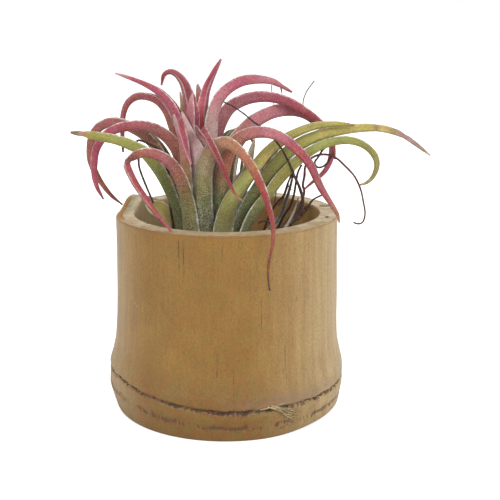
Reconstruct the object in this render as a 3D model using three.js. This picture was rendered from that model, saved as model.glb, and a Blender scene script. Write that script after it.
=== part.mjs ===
// A small blushing air plant standing loose in a cup sawn from a bamboo culm.
// Millimetres, +Z up. The origin is the centre of the cup's sawn base, +Y points to the back.
import * as THREE from "three";

// The bamboo cup
const cupRadius = 40;
const cupHeight = 71.5;
const wallThickness = 6.6;
const floorHeight = 12.5;
const floorFillet = 4;
const baseRadius = 41.6;
const nodeRadius = 43.5;
const grooveRadius = 42;
const grooveHeight = 11.3;
const footEdge = 0.5;
const sawnEdge = 0.3;
const cupSides = 56;

// The culm's skin, as [distance outside a radius, height]: round the node, then up the wall
const skinBelowGroove = [[-0.9, 4.6], [0, 8.6], [-0.2, 10.5]];
const skinAboveGroove = [[-0.3, 12.1], [-0.3, 16], [-1.3, 20]];
const skinOfWall = [[1.1, 25], [0.6, 33], [0.3, 45], [0, 60], [0, 66.5]];

// The culm leans to the left, most at its node, and stands straighter above it
const footLean = 0.6;
const nodeLean = 1;
const rimLean = 0.45;
const nodeBottom = 9;
const nodeTop = 16;
const straightFrom = 45;

// Where the culm is worn: a bevelled rim on the left and the right, and a bevelled foot at the front right;
// a lip is left standing on the rim at the back left
const wornEdges = [
  { azimuth: 178, spread: 20, size: 1.1 },
  { azimuth: 2, spread: 12, size: 1.3 },
];
const wornFoot = { azimuth: -38, spread: 36, size: 0.8 };
const rimLip = { azimuth: 155, spread: 16, size: 3 };
const rimWearSlope = 0.9;
const footWearSlope = 1.4;

// The plant's stem, a cone that stands clear of the cup's floor and of the lowest leaves
const stemSides = 28;
const stemWidest = 12;
const stemFootRadius = 7;
const stemFootBevel = 0.6;
const stemFloorGap = 0.3;
const stemLeafGap = 0.2;

// The rosette: leaves stand in ranks round the crown, each rank outside and a little below the last
const crownX = -6;
const crownY = -3;
const crownHeight = 42;
const firstRankRadius = 2.8;
const rankSpacing = 1.2;
const rankDrop = 1.7;
const sheathHeight = 54;
const sheathFlare = 0.5;
const openingLength = 42;

// The leaves
const leafThickness = 0.75;
const tipThickness = 0.62;
const tipWidth = 0.7;
const defaultTip = 0.3;
const defaultNarrow = 0.3;
const narrowFrom = 0.4;
const narrowOver = 0.5;
const taperPower = 0.65;
const sinkShare = 0.04;

// How closely a leaf or strand is divided along its length
const curveSamples = 200;
const arcDivisions = 600;
const turnPerStation = 0.55;
const stationLength = 8;
const fewestStations = 6;

// The strands
const strandLift = 1.2;
const strandTaperPower = 0.7;

const degrees = Math.PI / 180;
const group = new THREE.Group();

function addPiece(name, geometry, color, roughness = 0.7) {
  const material = new THREE.MeshStandardMaterial({ color, roughness, metalness: 0 });
  const mesh = new THREE.Mesh(geometry, material);
  mesh.name = name;
  group.add(mesh);
}

function smooth(from, to, value) {
  const t = Math.min(1, Math.max(0, (value - from) / (to - from)));
  return t * t * (3 - 2 * t);
}

// 1 at the middle azimuth, falling smoothly to 0 at the spread on either side
function fadeRound(azimuth, { azimuth: middle, spread, size }) {
  const offset = Math.abs(((azimuth - middle + 540) % 360) - 180);
  return size * (1 - smooth(0, spread, offset));
}

// The cup is one length of culm: wall, swollen node ring with its groove, and the node's own floor
function cupGeometry() {
  const inner = cupRadius - wallThickness;
  const filletShare = 0.3 * floorFillet;
  const profile = [
    [0, 0], [baseRadius - footEdge, 0], [baseRadius, footEdge],
    ...skinBelowGroove.map(([out, height]) => [nodeRadius + out, height]),
    [grooveRadius, grooveHeight],
    ...skinAboveGroove.map(([out, height]) => [nodeRadius + out, height]),
    ...skinOfWall.map(([out, height]) => [cupRadius + out, height]),
    [cupRadius, cupHeight - sawnEdge], [cupRadius - sawnEdge, cupHeight],
    [inner + sawnEdge, cupHeight], [inner, cupHeight - sawnEdge],
    [inner, floorHeight + floorFillet], [inner - filletShare, floorHeight + filletShare],
    [inner - floorFillet, floorHeight], [0, floorHeight],
  ];
  const points = profile.map(([radius, height]) => new THREE.Vector2(radius, height));
  const lathe = new THREE.LatheGeometry(points, cupSides).rotateX(Math.PI / 2);
  const positions = lathe.getAttribute("position");
  wearRim(positions);
  wearFoot(positions);
  leanCulm(positions);
  return lathe;
}

function leanCulm(positions) {
  for (let i = 0; i < positions.count; i += 1) {
    const z = positions.getZ(i);
    const lean = footLean + (nodeLean - footLean) * smooth(0, nodeBottom, z)
      + (rimLean - nodeLean) * smooth(nodeTop, straightFrom, z);
    positions.setX(i, positions.getX(i) - lean);
  }
}

// The foot's outer edge is worn off at the front right
function wearFoot(positions) {
  for (let i = 0; i < positions.count; i += 1) {
    const [x, y, z] = [positions.getX(i), positions.getY(i), positions.getZ(i)];
    const radius = Math.hypot(x, y);
    if (z > 2 * footEdge || radius < baseRadius - 2 * footEdge) continue;
    const wear = fadeRound(Math.atan2(y, x) / degrees, wornFoot);
    const pull = z === 0 ? 1 - (footWearSlope * wear) / radius : 1;
    positions.setXYZ(i, x * pull, y * pull, z === 0 ? 0 : z + wear);
  }
}

// The sawn rim is bevelled where it is worn, and stands up in its lip
function wearRim(positions) {
  const point = new THREE.Vector3();
  for (let i = 0; i < positions.count; i += 1) {
    point.fromBufferAttribute(positions, i);
    const radius = Math.hypot(point.x, point.y);
    if (point.z < cupHeight - 2 * sawnEdge) continue;
    const azimuth = Math.atan2(point.y, point.x) / degrees;
    const lip = fadeRound(azimuth, rimLip);
    const wear = wornEdges.reduce((sum, edge) => sum + fadeRound(azimuth, edge), 0);
    const onSkin = radius > cupRadius - sawnEdge / 2;
    const onOuterEdge = radius > cupRadius - 2 * sawnEdge;
    const pull = onOuterEdge && !onSkin ? 1 - wear / radius : 1;
    const height = point.z + lip - (onSkin ? wear * rimWearSlope : 0);
    positions.setXYZ(i, point.x * pull, point.y * pull, height);
  }
}

function stemGeometry() {
  const slope = rankDrop / rankSpacing;
  const topRadius = firstRankRadius - stemLeafGap;
  const topHeight = crownHeight - 2 * stemLeafGap;
  const shoulder = topHeight - slope * (stemWidest - topRadius);
  const foot = floorHeight + stemFloorGap;
  const profile = [
    [0, foot], [stemFootRadius - stemFootBevel, foot], [stemFootRadius, foot + stemFootBevel],
    [stemWidest, shoulder], [topRadius, topHeight], [0, topHeight],
  ];
  const points = profile.map(([radius, height]) => new THREE.Vector2(radius, height));
  return new THREE.LatheGeometry(points, stemSides).rotateX(Math.PI / 2).translate(crownX, crownY, 0);
}

// Points where a leaf leaves the stem and where its sheath ends, on the leaf's own rank
function sheathPoints(rank, side) {
  const radius = firstRankRadius + rank * rankSpacing;
  const across = [Math.cos(side * degrees), Math.sin(side * degrees)];
  const at = (r, z) => [crownX + r * across[0], crownY + r * across[1], z];
  return [at(radius, crownHeight - rank * rankDrop), at(radius + sheathFlare, sheathHeight)];
}

// Frames along a curve, carried from one to the next without spin; the first face looks inward
function carriedFrames(curve, inward) {
  const frames = [];
  const face = inward.clone();
  for (let i = 0; i <= curveSamples; i += 1) {
    const t = i / curveSamples;
    const along = curve.getTangentAt(t);
    face.addScaledVector(along, -face.dot(along)).normalize();
    frames.push({ t, point: curve.getPointAt(t), along, face: face.clone() });
  }
  return frames;
}

// Keeps more frames where the curve turns
function chooseStations(frames, length) {
  const measure = [0];
  for (let i = 1; i < frames.length; i += 1) {
    const turn = frames[i].along.angleTo(frames[i - 1].along);
    const step = length / (frames.length - 1) / stationLength;
    measure.push(measure[i - 1] + step + turn / turnPerStation);
  }
  const total = measure[measure.length - 1];
  const count = Math.max(fewestStations, Math.round(total));
  return Array.from({ length: count + 1 }, (_, k) => {
    const target = (total * k) / count;
    return frames[Math.max(0, measure.findIndex((value) => value >= target - 1e-9))];
  });
}

// A closed skin through rings of equally many points, capped at both ends
function ringSkin(rings, capTriangles) {
  const sides = rings[0].length;
  const index = [];
  for (let ring = 0; ring < rings.length - 1; ring += 1) {
    for (let side = 0; side < sides; side += 1) {
      const a = ring * sides + side;
      const b = ring * sides + ((side + 1) % sides);
      index.push(a, b, b + sides, a, b + sides, a + sides);
    }
  }
  const last = (rings.length - 1) * sides;
  capTriangles.forEach(([a, b, c]) => index.push(c, b, a, last + a, last + b, last + c));
  const geometry = new THREE.BufferGeometry().setFromPoints(rings.flat());
  geometry.setIndex(index);
  return geometry;
}

// A channelled leaf: its two halves rise from the groove to the margins, and it tapers to a point;
// it opens from its sheath to its blade between two distances above the sheath
function leafGeometry(leaf) {
  const { rank, side, sheath, blade, fold, route } = leaf;
  const { roll = 0, narrow = defaultNarrow, tip = defaultTip, opens = [0, openingLength] } = leaf;
  const points = [...sheathPoints(rank, side), ...route].map((p) => new THREE.Vector3(...p));
  const curve = new THREE.CatmullRomCurve3(points, false, "centripetal");
  curve.arcLengthDivisions = arcDivisions;
  const inward = new THREE.Vector3(-Math.cos(side * degrees), -Math.sin(side * degrees), 0);
  const frames = carriedFrames(curve, inward);
  const baseFold = Math.atan(sheath / 4 / (firstRankRadius + rank * rankSpacing));
  const length = curve.getLength();
  const sheathLength = sheathHeight - points[0].z;
  const rings = chooseStations(frames, length).map(({ t, point, along, face }) => {
    const opened = smooth(sheathLength + opens[0], sheathLength + opens[1], t * length);
    const narrowed = 1 - narrow * Math.min(1, Math.max(0, (t - narrowFrom) / narrowOver));
    const taper = Math.min(1, Math.pow((1 - t) / tip, taperPower));
    const width = Math.max(tipWidth, (sheath + (blade - sheath) * opened) * narrowed * taper);
    const foldAngle = baseFold + (fold * degrees - baseFold) * opened;
    const depth = (width / 2) * Math.tan(foldAngle);
    const thickness = leafThickness + (tipThickness - leafThickness) * t;
    const out = thickness * Math.sin(foldAngle);
    const down = thickness * Math.cos(foldAngle);
    const normal = face.clone().applyAxisAngle(along, roll * degrees * opened);
    const across = new THREE.Vector3().crossVectors(along, normal);
    const at = (b, n) => point.clone().addScaledVector(across, b)
      .addScaledVector(normal, n - (depth / 2 + width * sinkShare) * opened);
    const half = width / 2;
    return [
      at(0, 0), at(half, depth), at(half + out, depth - down),
      at(0, -thickness / Math.cos(foldAngle)), at(-half - out, depth - down), at(-half, depth),
    ];
  });
  return ringSkin(rings, [[0, 1, 2], [0, 2, 3], [0, 3, 4], [0, 4, 5]]);
}

// A withered strand: a thin round stalk whose radius runs from the first value to the last
function strandGeometry({ route, from, to }) {
  const points = route.map((p) => new THREE.Vector3(...p));
  const curve = new THREE.CatmullRomCurve3(points, false, "centripetal");
  curve.arcLengthDivisions = arcDivisions;
  const frames = carriedFrames(curve, new THREE.Vector3(0, -1, 0.02));
  const rings = chooseStations(frames, curve.getLength()).map(({ t, point, along, face }) => {
    const radius = from + (to - from) * Math.pow(t, strandTaperPower);
    const across = new THREE.Vector3().crossVectors(along, face);
    return [0, 1, 2, 3].map((corner) => {
      const angle = (corner / 4) * 2 * Math.PI;
      return point.clone().addScaledVector(face, radius * Math.cos(angle))
        .addScaledVector(across, radius * Math.sin(angle));
    });
  });
  return ringSkin(rings, [[0, 1, 2], [0, 2, 3]]);
}

// Colours of the cup, the stem, the living leaves and the dead ones
const bamboo = "#b8986a";
const bark = "#5a4636";
const crimson = "#a8404a";
const pink = "#b8707a";
const russet = "#8e5040";
const orange = "#b87858";
const olive = "#868a4c";
const green = "#7c8c4a";
const silverGreen = "#8d9478";
const withered = "#4a3a36";

// The leaves; each route runs from above the sheath to the tip
const leaves = [
  // The upright centre
  { name: "spike_leaf", color: crimson, rank: 0, side: 80, sheath: 3.6, blade: 8, fold: 55,
    roll: -38, opens: [28, 50], narrow: 0.2, tip: 0.5,
    route: [[-7.9, 0, 86], [-8.9, -0.2, 105.2], [-8.5, 0, 110.1], [-7.5, 1, 114.9], [-5.8, 2, 119],
      [-2.4, 3, 125.6]] },
  { name: "blunt_pink_leaf", color: pink, rank: 0, side: 219, sheath: 3.4, blade: 5.2, fold: 55,
    roll: -57, opens: [28, 50], narrow: 0, tip: 0.1,
    route: [[-9.8, -4.7, 84], [-12.2, -5.1, 102.3], [-12.1, -5.5, 107.9], [-12, -5.4, 112],
      [-11.8, -5.4, 114.3]] },
  { name: "short_back_leaf", color: pink, rank: 1, side: 60, sheath: 2.4, blade: 6.4, fold: 30,
    opens: [34, 54], narrow: 0, tip: 0.2,
    route: [[-6, 3.4, 84], [-9.3, 5.6, 106.7], [-9.9, 6.4, 111.6], [-10.9, 6.4, 116.6]] },
  { name: "pale_back_leaf", color: silverGreen, rank: 2, side: 118, sheath: 3.4, blade: 4.8, fold: 25,
    opens: [20, 50], narrow: 0, tip: 0.4,
    route: [[-9.2, 5.9, 80], [-15.9, 8.4, 102], [-16.4, 9.4, 108.4], [-17.1, 10.4, 113.4]] },

  // The left side
  { name: "top_left_hook_leaf", color: crimson, rank: 1, side: 105, sheath: 3.4, blade: 11, fold: 56,
    roll: 34, opens: [36, 56], narrow: 0.8, tip: 0.12,
    route: [[-11, 3, 86], [-13.4, 4.2, 106.4], [-14.2, 3.8, 112.3], [-16, 3.6, 117.8],
      [-18.6, 4.2, 120.6], [-20.9, 5, 121.1], [-22.7, 5, 119.9], [-23.7, 5, 116.3]] },
  { name: "long_left_leaf", color: crimson, rank: 2, side: 172, sheath: 4.2, blade: 5.8, fold: 60,
    narrow: 0.6, tip: 0.25,
    route: [[-12.8, -2, 86], [-16.6, -0.6, 103.1], [-18.2, -1, 107.8], [-20.9, 0.8, 111.6],
      [-24.3, 2.2, 114.5], [-28.9, 4, 116.9], [-34.7, 6, 119], [-39.9, 8, 120.4]] },
  { name: "left_hook_leaf", color: russet, rank: 3, side: 157, sheath: 4.8, blade: 5.8, fold: 58,
    narrow: 0.75, tip: 0.08,
    route: [[-13.4, 2.6, 80], [-19.8, 3.4, 103.4], [-22.1, 5, 108.2], [-25.4, 7, 111.2],
      [-29.1, 9, 112.3], [-32.7, 10.5, 112.1], [-35.9, 11.5, 110.1], [-37.8, 12, 106.8],
      [-38.7, 12, 101.7], [-38.8, 12, 91.3]] },
  { name: "crimson_arch_leaf", color: crimson, rank: 4, side: 196, sheath: 5, blade: 5.2, fold: 60,
    narrow: 0.6, tip: 0.12,
    route: [[-14.2, -5.8, 76], [-16.8, -6.2, 93.3], [-19.4, -6, 97.8], [-23.1, -6.2, 101.2],
      [-28.1, -6.5, 103.3], [-33.9, -7, 103.6], [-39.4, -8, 102.5], [-43.5, -9, 99.7], [-46, -10, 95.4],
      [-46.7, -10.5, 90.6], [-46.6, -11, 85.7], [-45.7, -11, 82], [-43.6, -12, 78.3]] },
  { name: "brown_arch_leaf", color: russet, rank: 5, side: 172, sheath: 5.4, blade: 5.6, fold: 58,
    narrow: 0.7, tip: 0.12,
    route: [[-18.5, -3, 79.1], [-20.7, -2.4, 86.3], [-22.8, -1.2, 91.8], [-25.8, 0.2, 96.1],
      [-29.9, 1.5, 99.7], [-34.9, 3, 102.2], [-40, 4.5, 103.7], [-45.3, 6, 102.2], [-48.8, 7, 98.3],
      [-50, 8, 93.1], [-49.9, 8.4, 88.2], [-48.3, 8.8, 83.4], [-45.1, 9.5, 77.8], [-42.2, 10, 74.2],
      [-39.3, 10, 71.8]] },
  { name: "green_left_leaf", color: green, rank: 7, side: 212, sheath: 5, blade: 5.4, fold: 58,
    narrow: 0.45, tip: 0.15,
    route: [[-18, -10.8, 72.4], [-21.1, -11.6, 82.2], [-23.5, -12.8, 88.1], [-26.1, -13.6, 92.4],
      [-29.2, -14.6, 96], [-33.1, -16, 98.2], [-37.5, -17, 100.1], [-43, -18, 101.3],
      [-47.9, -19, 102.3], [-52.7, -19, 102.8]] },
  { name: "nicked_red_leaf", color: russet, rank: 7, side: 240, sheath: 5.2, blade: 5.4, fold: 50,
    narrow: 0.6, tip: 0.12,
    route: [[-12.8, -14.2, 64], [-14.6, -15.6, 78], [-16.1, -17.5, 85], [-18.2, -19, 90.1],
      [-21.8, -21, 94.2], [-26, -23, 96.2], [-29.8, -25, 96.4], [-32.3, -27, 95.5], [-33, -28, 93.7],
      [-32.3, -29, 90.2], [-30.4, -30.5, 86.6], [-27.9, -32, 83.2], [-25.2, -33, 79.4],
      [-21.9, -34, 75.4], [-18.8, -34.5, 71.8]] },
  { name: "low_left_leaf", color: olive, rank: 6, side: 176, sheath: 5.6, blade: 7.4, fold: 15,
    roll: -45, tip: 0.25,
    route: [[-18.9, -3.4, 64.5], [-21.5, -3.2, 69.1], [-24.4, -2.8, 72.2], [-27.3, -1.6, 74.1],
      [-29.7, -0.4, 75.2]] },

  // Leaves that bend towards the front
  { name: "front_left_leaf", color: crimson, rank: 5, side: 226, sheath: 4.2, blade: 5, fold: 40,
    route: [[-14.4, -12.2, 80], [-15.4, -13, 98.5], [-16.9, -14, 105.1], [-17, -15.5, 107.5],
      [-16.4, -18, 107.2], [-15.3, -21.5, 103.7], [-13.8, -24, 98.3], [-12.1, -25, 92.8]] },
  { name: "front_crimson_leaf", color: crimson, rank: 1, side: 265, sheath: 3.8, blade: 4.6, fold: 42,
    narrow: 0.6, tip: 0.2,
    route: [[-7.4, -7.8, 86], [-7.9, -8.6, 96], [-9.6, -12.9, 103.6], [-8.3, -15.8, 102.4],
      [-6.2, -20.8, 99.8], [-4, -24.5, 96.2], [-1.7, -28, 91.9], [0.4, -30.5, 87.8], [2.2, -32, 84.2],
      [4.8, -32.5, 81.8]] },
  { name: "silver_front_leaf", color: silverGreen, rank: 4, side: 249, sheath: 5.2, blade: 5.2, fold: 28,
    narrow: 0.1, tip: 0.2,
    route: [[-10, -11.2, 64], [-9.7, -12, 86.5], [-10.9, -11.8, 94.8], [-13.3, -9, 101],
      [-14.7, -7.4, 105], [-15.8, -6.6, 108.1]] },
  { name: "orange_front_leaf", color: orange, rank: 6, side: 263, sheath: 6, blade: 5.6, fold: 45,
    narrow: 0.65, tip: 0.2,
    route: [[-8.6, -14.4, 67], [-9.1, -15.2, 80], [-7.9, -15.6, 90.9], [-5.1, -17, 96.4],
      [-0.6, -20, 98.7], [3.7, -24, 96.9], [7.4, -28, 92.9], [10.6, -32, 87.5], [12.9, -36.5, 81.8],
      [14.5, -40.5, 75.7], [14.4, -43.5, 69.8], [13.1, -44, 63.6], [12.9, -44, 59.6],
      [13.4, -43.5, 54.4]] },

  // Arches to the right, the inner ones higher
  { name: "top_arch_leaf", color: pink, rank: 0, side: 335, sheath: 3.6, blade: 5.2, fold: 60,
    narrow: 0.5, tip: 0.15,
    route: [[-5.7, -5.3, 92], [-5.9, -5.5, 101], [-5, -4.6, 108], [-2.6, -4, 113], [0.5, -3.5, 116],
      [5.4, -2.5, 118.3], [10.4, -2, 118.8], [15.3, -1.5, 118.2], [19, -1, 116.5], [22.7, 0, 114.3]] },
  { name: "second_arch_leaf", color: crimson, rank: 1, side: 14, sheath: 3.8, blade: 5.4, fold: 60,
    roll: -22, opens: [10, 54], narrow: 0.55, tip: 0.1,
    route: [[-2.2, -0.6, 84], [-4.1, 0.4, 96.3], [-3.1, 0.7, 103], [0.3, 0.8, 108.8], [5.6, 1, 111.8],
      [11.1, 1, 112.9], [16.7, 1, 112.5], [22.4, 1, 110.6], [28.2, 1, 107.1], [32.7, 1, 103.5],
      [36, 1.4, 99.3], [37.9, 1.4, 94.8], [38.7, 1.4, 90.1]] },
  { name: "third_arch_leaf", color: russet, rank: 2, side: 344, sheath: 4.4, blade: 6, fold: 60,
    narrow: 0.75, tip: 0.1,
    route: [[0.2, -5.4, 80], [1.1, -4.8, 94.4], [4.4, -3.4, 99.5], [9.3, -1, 104], [15.1, 2, 106.6],
      [21.3, 5, 107.2], [26.8, 7, 106.1], [31.7, 8.4, 103], [35.9, 9, 99.3], [38, 9, 94.9],
      [37.8, 8.4, 89.8], [35.8, 7.6, 85.1], [28.2, 6, 78.3]] },
  { name: "front_arch_leaf", color: crimson, rank: 5, side: 290, sheath: 5.4, blade: 5.2, fold: 56,
    narrow: 0.6, tip: 0.12,
    route: [[-2, -12.2, 72], [-1.8, -12.4, 84], [0, -13, 93], [2, -13.6, 97.5], [6, -13.8, 100.5],
      [11.8, -14.2, 101.6], [17.3, -14.8, 100.4], [23.3, -15.4, 96], [27.8, -15.6, 91],
      [32, -15.4, 82.6], [35.6, -15.2, 77.2], [38, -15.4, 73.3], [38.8, -15.8, 70.5]] },
  { name: "green_back_arch_leaf", color: green, rank: 3, side: 36, sheath: 4.4, blade: 4.6, fold: 45,
    route: [[-1.2, 3, 80], [-2.9, 5.2, 93], [-1.6, 7.4, 96.3], [0.8, 9, 99.2], [4.5, 13, 99.4],
      [7.5, 18, 97.8], [9.5, 23, 93.4]] },
  { name: "olive_upright_leaf", color: olive, rank: 5, side: 332, sheath: 4.6, blade: 6, fold: 35,
    narrow: 0, tip: 0.2,
    route: [[4.4, -7.4, 64], [5.2, -6.6, 79.7], [7, -6.8, 89], [8.2, -7, 94.7], [9.1, -7.4, 98.7]] },
  { name: "grey_upright_leaf", color: silverGreen, rank: 4, side: 320, sheath: 3.6, blade: 2.8, fold: 22,
    route: [[1.6, -9, 66], [2, -9.6, 80], [2.4, -9.9, 90], [3.4, -9.9, 95.4]] },
  { name: "slim_green_leaf", color: green, rank: 3, side: 330, sheath: 3.8, blade: 2.6, fold: 22,
    route: [[2.4, -5.6, 66], [4.2, -5, 80], [4.9, -4.6, 91], [5.8, -4.4, 94.8]] },

  // Green leaves reaching to the right
  { name: "upper_green_leaf", color: olive, rank: 7, side: 286, sheath: 5.6, blade: 5.4, fold: 58,
    narrow: 0.6, tip: 0.12,
    route: [[-2.2, -15.8, 65], [0.8, -16, 77], [5.1, -14, 83.6], [9.7, -11.6, 89.1], [14.3, -9.4, 94.4],
      [18.5, -8.2, 97.7], [23.7, -8, 100.6], [28.6, -7.6, 102.5], [33.8, -7.4, 103.6],
      [39.1, -7.4, 103.8], [44, -7.4, 103.4]] },
  { name: "longest_green_leaf", color: olive, rank: 6, side: 313, sheath: 5, blade: 5.4, fold: 58,
    narrow: 0.7, tip: 0.12,
    route: [[2.6, -10.8, 62], [5.7, -9.6, 71.7], [10.3, -8.2, 79.6], [15.5, -7, 87.6],
      [21.1, -6.4, 93.5], [26, -6, 96.8], [31.6, -5.6, 99.3], [39.4, -5, 101.1], [47.5, -4.5, 102],
      [53.6, -4, 101.8], [59, -4, 100.5], [62.6, -4, 98.9], [66.6, -4, 96.2], [69.5, -4, 94.1],
      [71.9, -4, 92.3]] },
  { name: "curled_green_leaf", color: green, rank: 7, side: 318, sheath: 4.8, blade: 4.6, fold: 55,
    narrow: 0.6, tip: 0.12,
    route: [[6, -13, 66], [9.2, -13, 73], [13.8, -11.8, 79], [17.2, -10.4, 83.8], [22, -9, 89],
      [26.5, -8.4, 92.8], [31.6, -8.2, 96], [37.5, -8.6, 98], [42.6, -9.4, 98.3], [47, -10, 97],
      [50.2, -10.5, 94.4], [51.8, -11, 91.3], [51.7, -11, 88.2], [50.3, -11, 85.2], [48.2, -11, 83.4],
      [46, -11, 82.8]] },

  // Dead blades leaning out to the right
  { name: "dead_back_blade", color: withered, rank: 6, side: 22, sheath: 3, blade: 3, fold: 15,
    route: [[11, 2, 60], [18.6, 3, 68], [21.4, 2.8, 76], [24, 3.2, 86.6]] },
  { name: "dead_front_blade", color: withered, rank: 8.2, side: 333, sheath: 3, blade: 3.2, fold: 15,
    route: [[12.6, -11.4, 60], [19.4, -13.2, 67.6], [22.4, -13.6, 73.5], [24.2, -13.6, 79]] },
];

// Leaves at the back: each arches straight out from its rank, the outer ones lower and further
const backLeaves = [
  { rank: 3, side: 78, reach: 26, peak: 96 },
  { rank: 4, side: 64, reach: 30, peak: 91 },
  { rank: 4, side: 112, reach: 28, peak: 91 },
  { rank: 5, side: 86, reach: 38, peak: 87 },
  { rank: 6, side: 66, reach: 44, peak: 82 },
  { rank: 6, side: 106, reach: 42, peak: 82 },
  { rank: 7, side: 86, reach: 50, peak: 77 },
];

// Their common section, and points along the arch as [share of the reach, distance below the peak]
const backSection = { sheath: 3.8, blade: 4.6, fold: 30 };
const backArch = [[0.4, 10], [0.55, 3], [0.72, 0], [0.88, 2], [1, 6]];

function backRoute({ side, reach, peak }) {
  const [x, y] = [reach * Math.cos(side * degrees), reach * Math.sin(side * degrees)];
  return backArch.map(([share, drop]) => [crownX + share * x, crownY + share * y, peak - drop]);
}

// Withered strands, each from its thick end; it starts on a rank, at the foot of the leaves
const strands = [
  { name: "long_dry_strand", rank: 7, side: 347, from: 1.1, to: 0.36,
    route: [[12, -7.6, 52], [20.5, -10, 68], [24.3, -10.4, 71.4], [26.2, -10.6, 77],
      [25.4, -11.4, 80.8], [23.1, -12, 86.3], [20.6, -12.2, 92], [17.7, -12, 97],
      [12.5, -9.6, 102.4], [9.4, -8.6, 104.4], [5.3, -7.8, 107.7], [1.8, -7.4, 110],
      [-1.3, -7.2, 111.5]] },
  { name: "curling_dry_strand", rank: 6, side: 352, from: 0.7, to: 0.34,
    route: [[12, -5.4, 52], [22, -7, 67.5], [25.5, -6.6, 74.5], [27, -6.4, 79.7], [26.5, -6.2, 82],
      [27, -6, 85], [27.4, -6, 89], [29.5, -5.6, 91.6], [33.1, -5.2, 92.8], [37.7, -4, 91.7],
      [41.9, -4, 88.2], [45.2, -4, 84.5], [47.3, -5, 80], [48.2, -6, 75.8], [48.8, -7, 71.6],
      [47.8, -8, 68.8], [46.2, -8.5, 68.4], [44.5, -9, 69]] },
  { name: "forked_dry_strand", rank: 5, side: 357, from: 0.7, to: 0.36,
    route: [[12, -3.4, 52], [19.9, -4, 70.4], [22.3, -4, 74.2], [23.6, -4, 78.6], [24, -4, 81.4],
      [24.8, -4.2, 86.2], [26.1, -4.4, 89]] },
  { name: "inner_dry_strand", rank: 5, side: 11, from: 0.6, to: 0.34,
    route: [[10, -1.8, 55], [15, -2, 70.5], [17.9, -1.6, 75.2], [19.9, -1.6, 77.4], [21.2, -1.6, 81.2],
      [22.8, -1.6, 85.4]] },
  { name: "looped_dry_strand", rank: 4, side: 4, from: 0.6, to: 0.34,
    route: [[6, -1.4, 60], [14, -1.4, 80], [22.3, -1.6, 90], [31.2, -2, 95.8], [35.1, -2.4, 95.6],
      [33.4, -3, 93.8], [32.1, -3.2, 91.6], [30.8, -3.4, 89.6], [31.8, -3.8, 88], [33.9, -3.8, 88.4],
      [36, -3.4, 90.6], [37, -3, 92.6]] },
  { name: "upright_dry_strand", rank: 4.4, side: 30, from: 0.5, to: 0.32,
    route: [[5, 1.6, 75], [13, 5, 87], [20.4, 8, 94.4], [26, 10, 98], [30, 11.4, 100.2],
      [30.6, 12.4, 102.6], [28.6, 12.6, 106.2], [27.6, 12.6, 108.7], [28.6, 12.4, 112.8],
      [31.6, 12.4, 117.2]] },
  { name: "low_arched_strand", rank: 8.6, side: 318, from: 0.6, to: 0.34,
    route: [[9, -14.6, 50], [15.2, -16.4, 66.5], [14.8, -16.4, 70.2], [12.7, -16.4, 71.4],
      [10.2, -16.4, 70.6]] },
  { name: "left_dry_strand", rank: 8.6, side: 194, from: 0.6, to: 0.36,
    route: [[-18.8, -6.8, 58], [-20.8, -7.8, 78], [-21.4, -9.6, 89], [-23.7, -10.2, 94],
      [-26.4, -10.4, 95.9], [-28.8, -10.4, 97], [-30.6, -10.8, 97.6], [-31.2, -11, 96],
      [-30.7, -11, 93.4], [-30.8, -11, 89.7], [-29.3, -11, 84.8], [-27.3, -11.4, 79.8],
      [-26.2, -11.6, 76.8]] },
];

// A short dead twig that grows from the long strand's thick foot
const twig = { name: "dry_twig", from: 0.45, to: 0.34,
  route: [[27, -10.3, 73.8], [28.2, -10.6, 75.3], [29.7, -11.2, 77.7], [33.3, -12.4, 79.9]] };

addPiece("bamboo_cup", cupGeometry(), bamboo, 0.55);
addPiece("stem", stemGeometry(), bark, 0.9);
leaves.forEach(({ name, color, ...shape }) => addPiece(name, leafGeometry(shape), color));
backLeaves.forEach((leaf, i) => {
  const shape = { ...leaf, ...backSection, route: backRoute(leaf) };
  addPiece(`back_leaf_${i + 1}`, leafGeometry(shape), silverGreen);
});
strands.forEach(({ name, rank, side, from, to, route }) => {
  const [foot] = sheathPoints(rank, side);
  const rooted = [[foot[0], foot[1], foot[2] + strandLift], ...route];
  addPiece(name, strandGeometry({ from, to, route: rooted }), withered, 0.85);
});
addPiece(twig.name, strandGeometry(twig), withered, 0.85);

export default group;
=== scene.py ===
import math
import bmesh
import bpy
import numpy as np
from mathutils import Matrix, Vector, noise


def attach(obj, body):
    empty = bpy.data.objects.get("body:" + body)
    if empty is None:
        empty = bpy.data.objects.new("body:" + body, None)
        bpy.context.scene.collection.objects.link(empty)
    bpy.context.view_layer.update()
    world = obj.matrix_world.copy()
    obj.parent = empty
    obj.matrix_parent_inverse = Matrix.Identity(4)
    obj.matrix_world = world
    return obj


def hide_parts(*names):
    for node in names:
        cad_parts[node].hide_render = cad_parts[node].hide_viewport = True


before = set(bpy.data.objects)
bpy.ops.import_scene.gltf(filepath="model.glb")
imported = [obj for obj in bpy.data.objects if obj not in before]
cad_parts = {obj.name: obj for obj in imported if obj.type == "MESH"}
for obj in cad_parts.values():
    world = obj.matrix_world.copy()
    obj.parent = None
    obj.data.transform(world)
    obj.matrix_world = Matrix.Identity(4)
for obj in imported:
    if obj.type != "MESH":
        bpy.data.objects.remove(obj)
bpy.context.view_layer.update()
print("frame loaded:", len(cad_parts), "nodes")

mm = 0.001  # sizes below are in millimetres, angles in degrees, colours from 0 to 255

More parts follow.
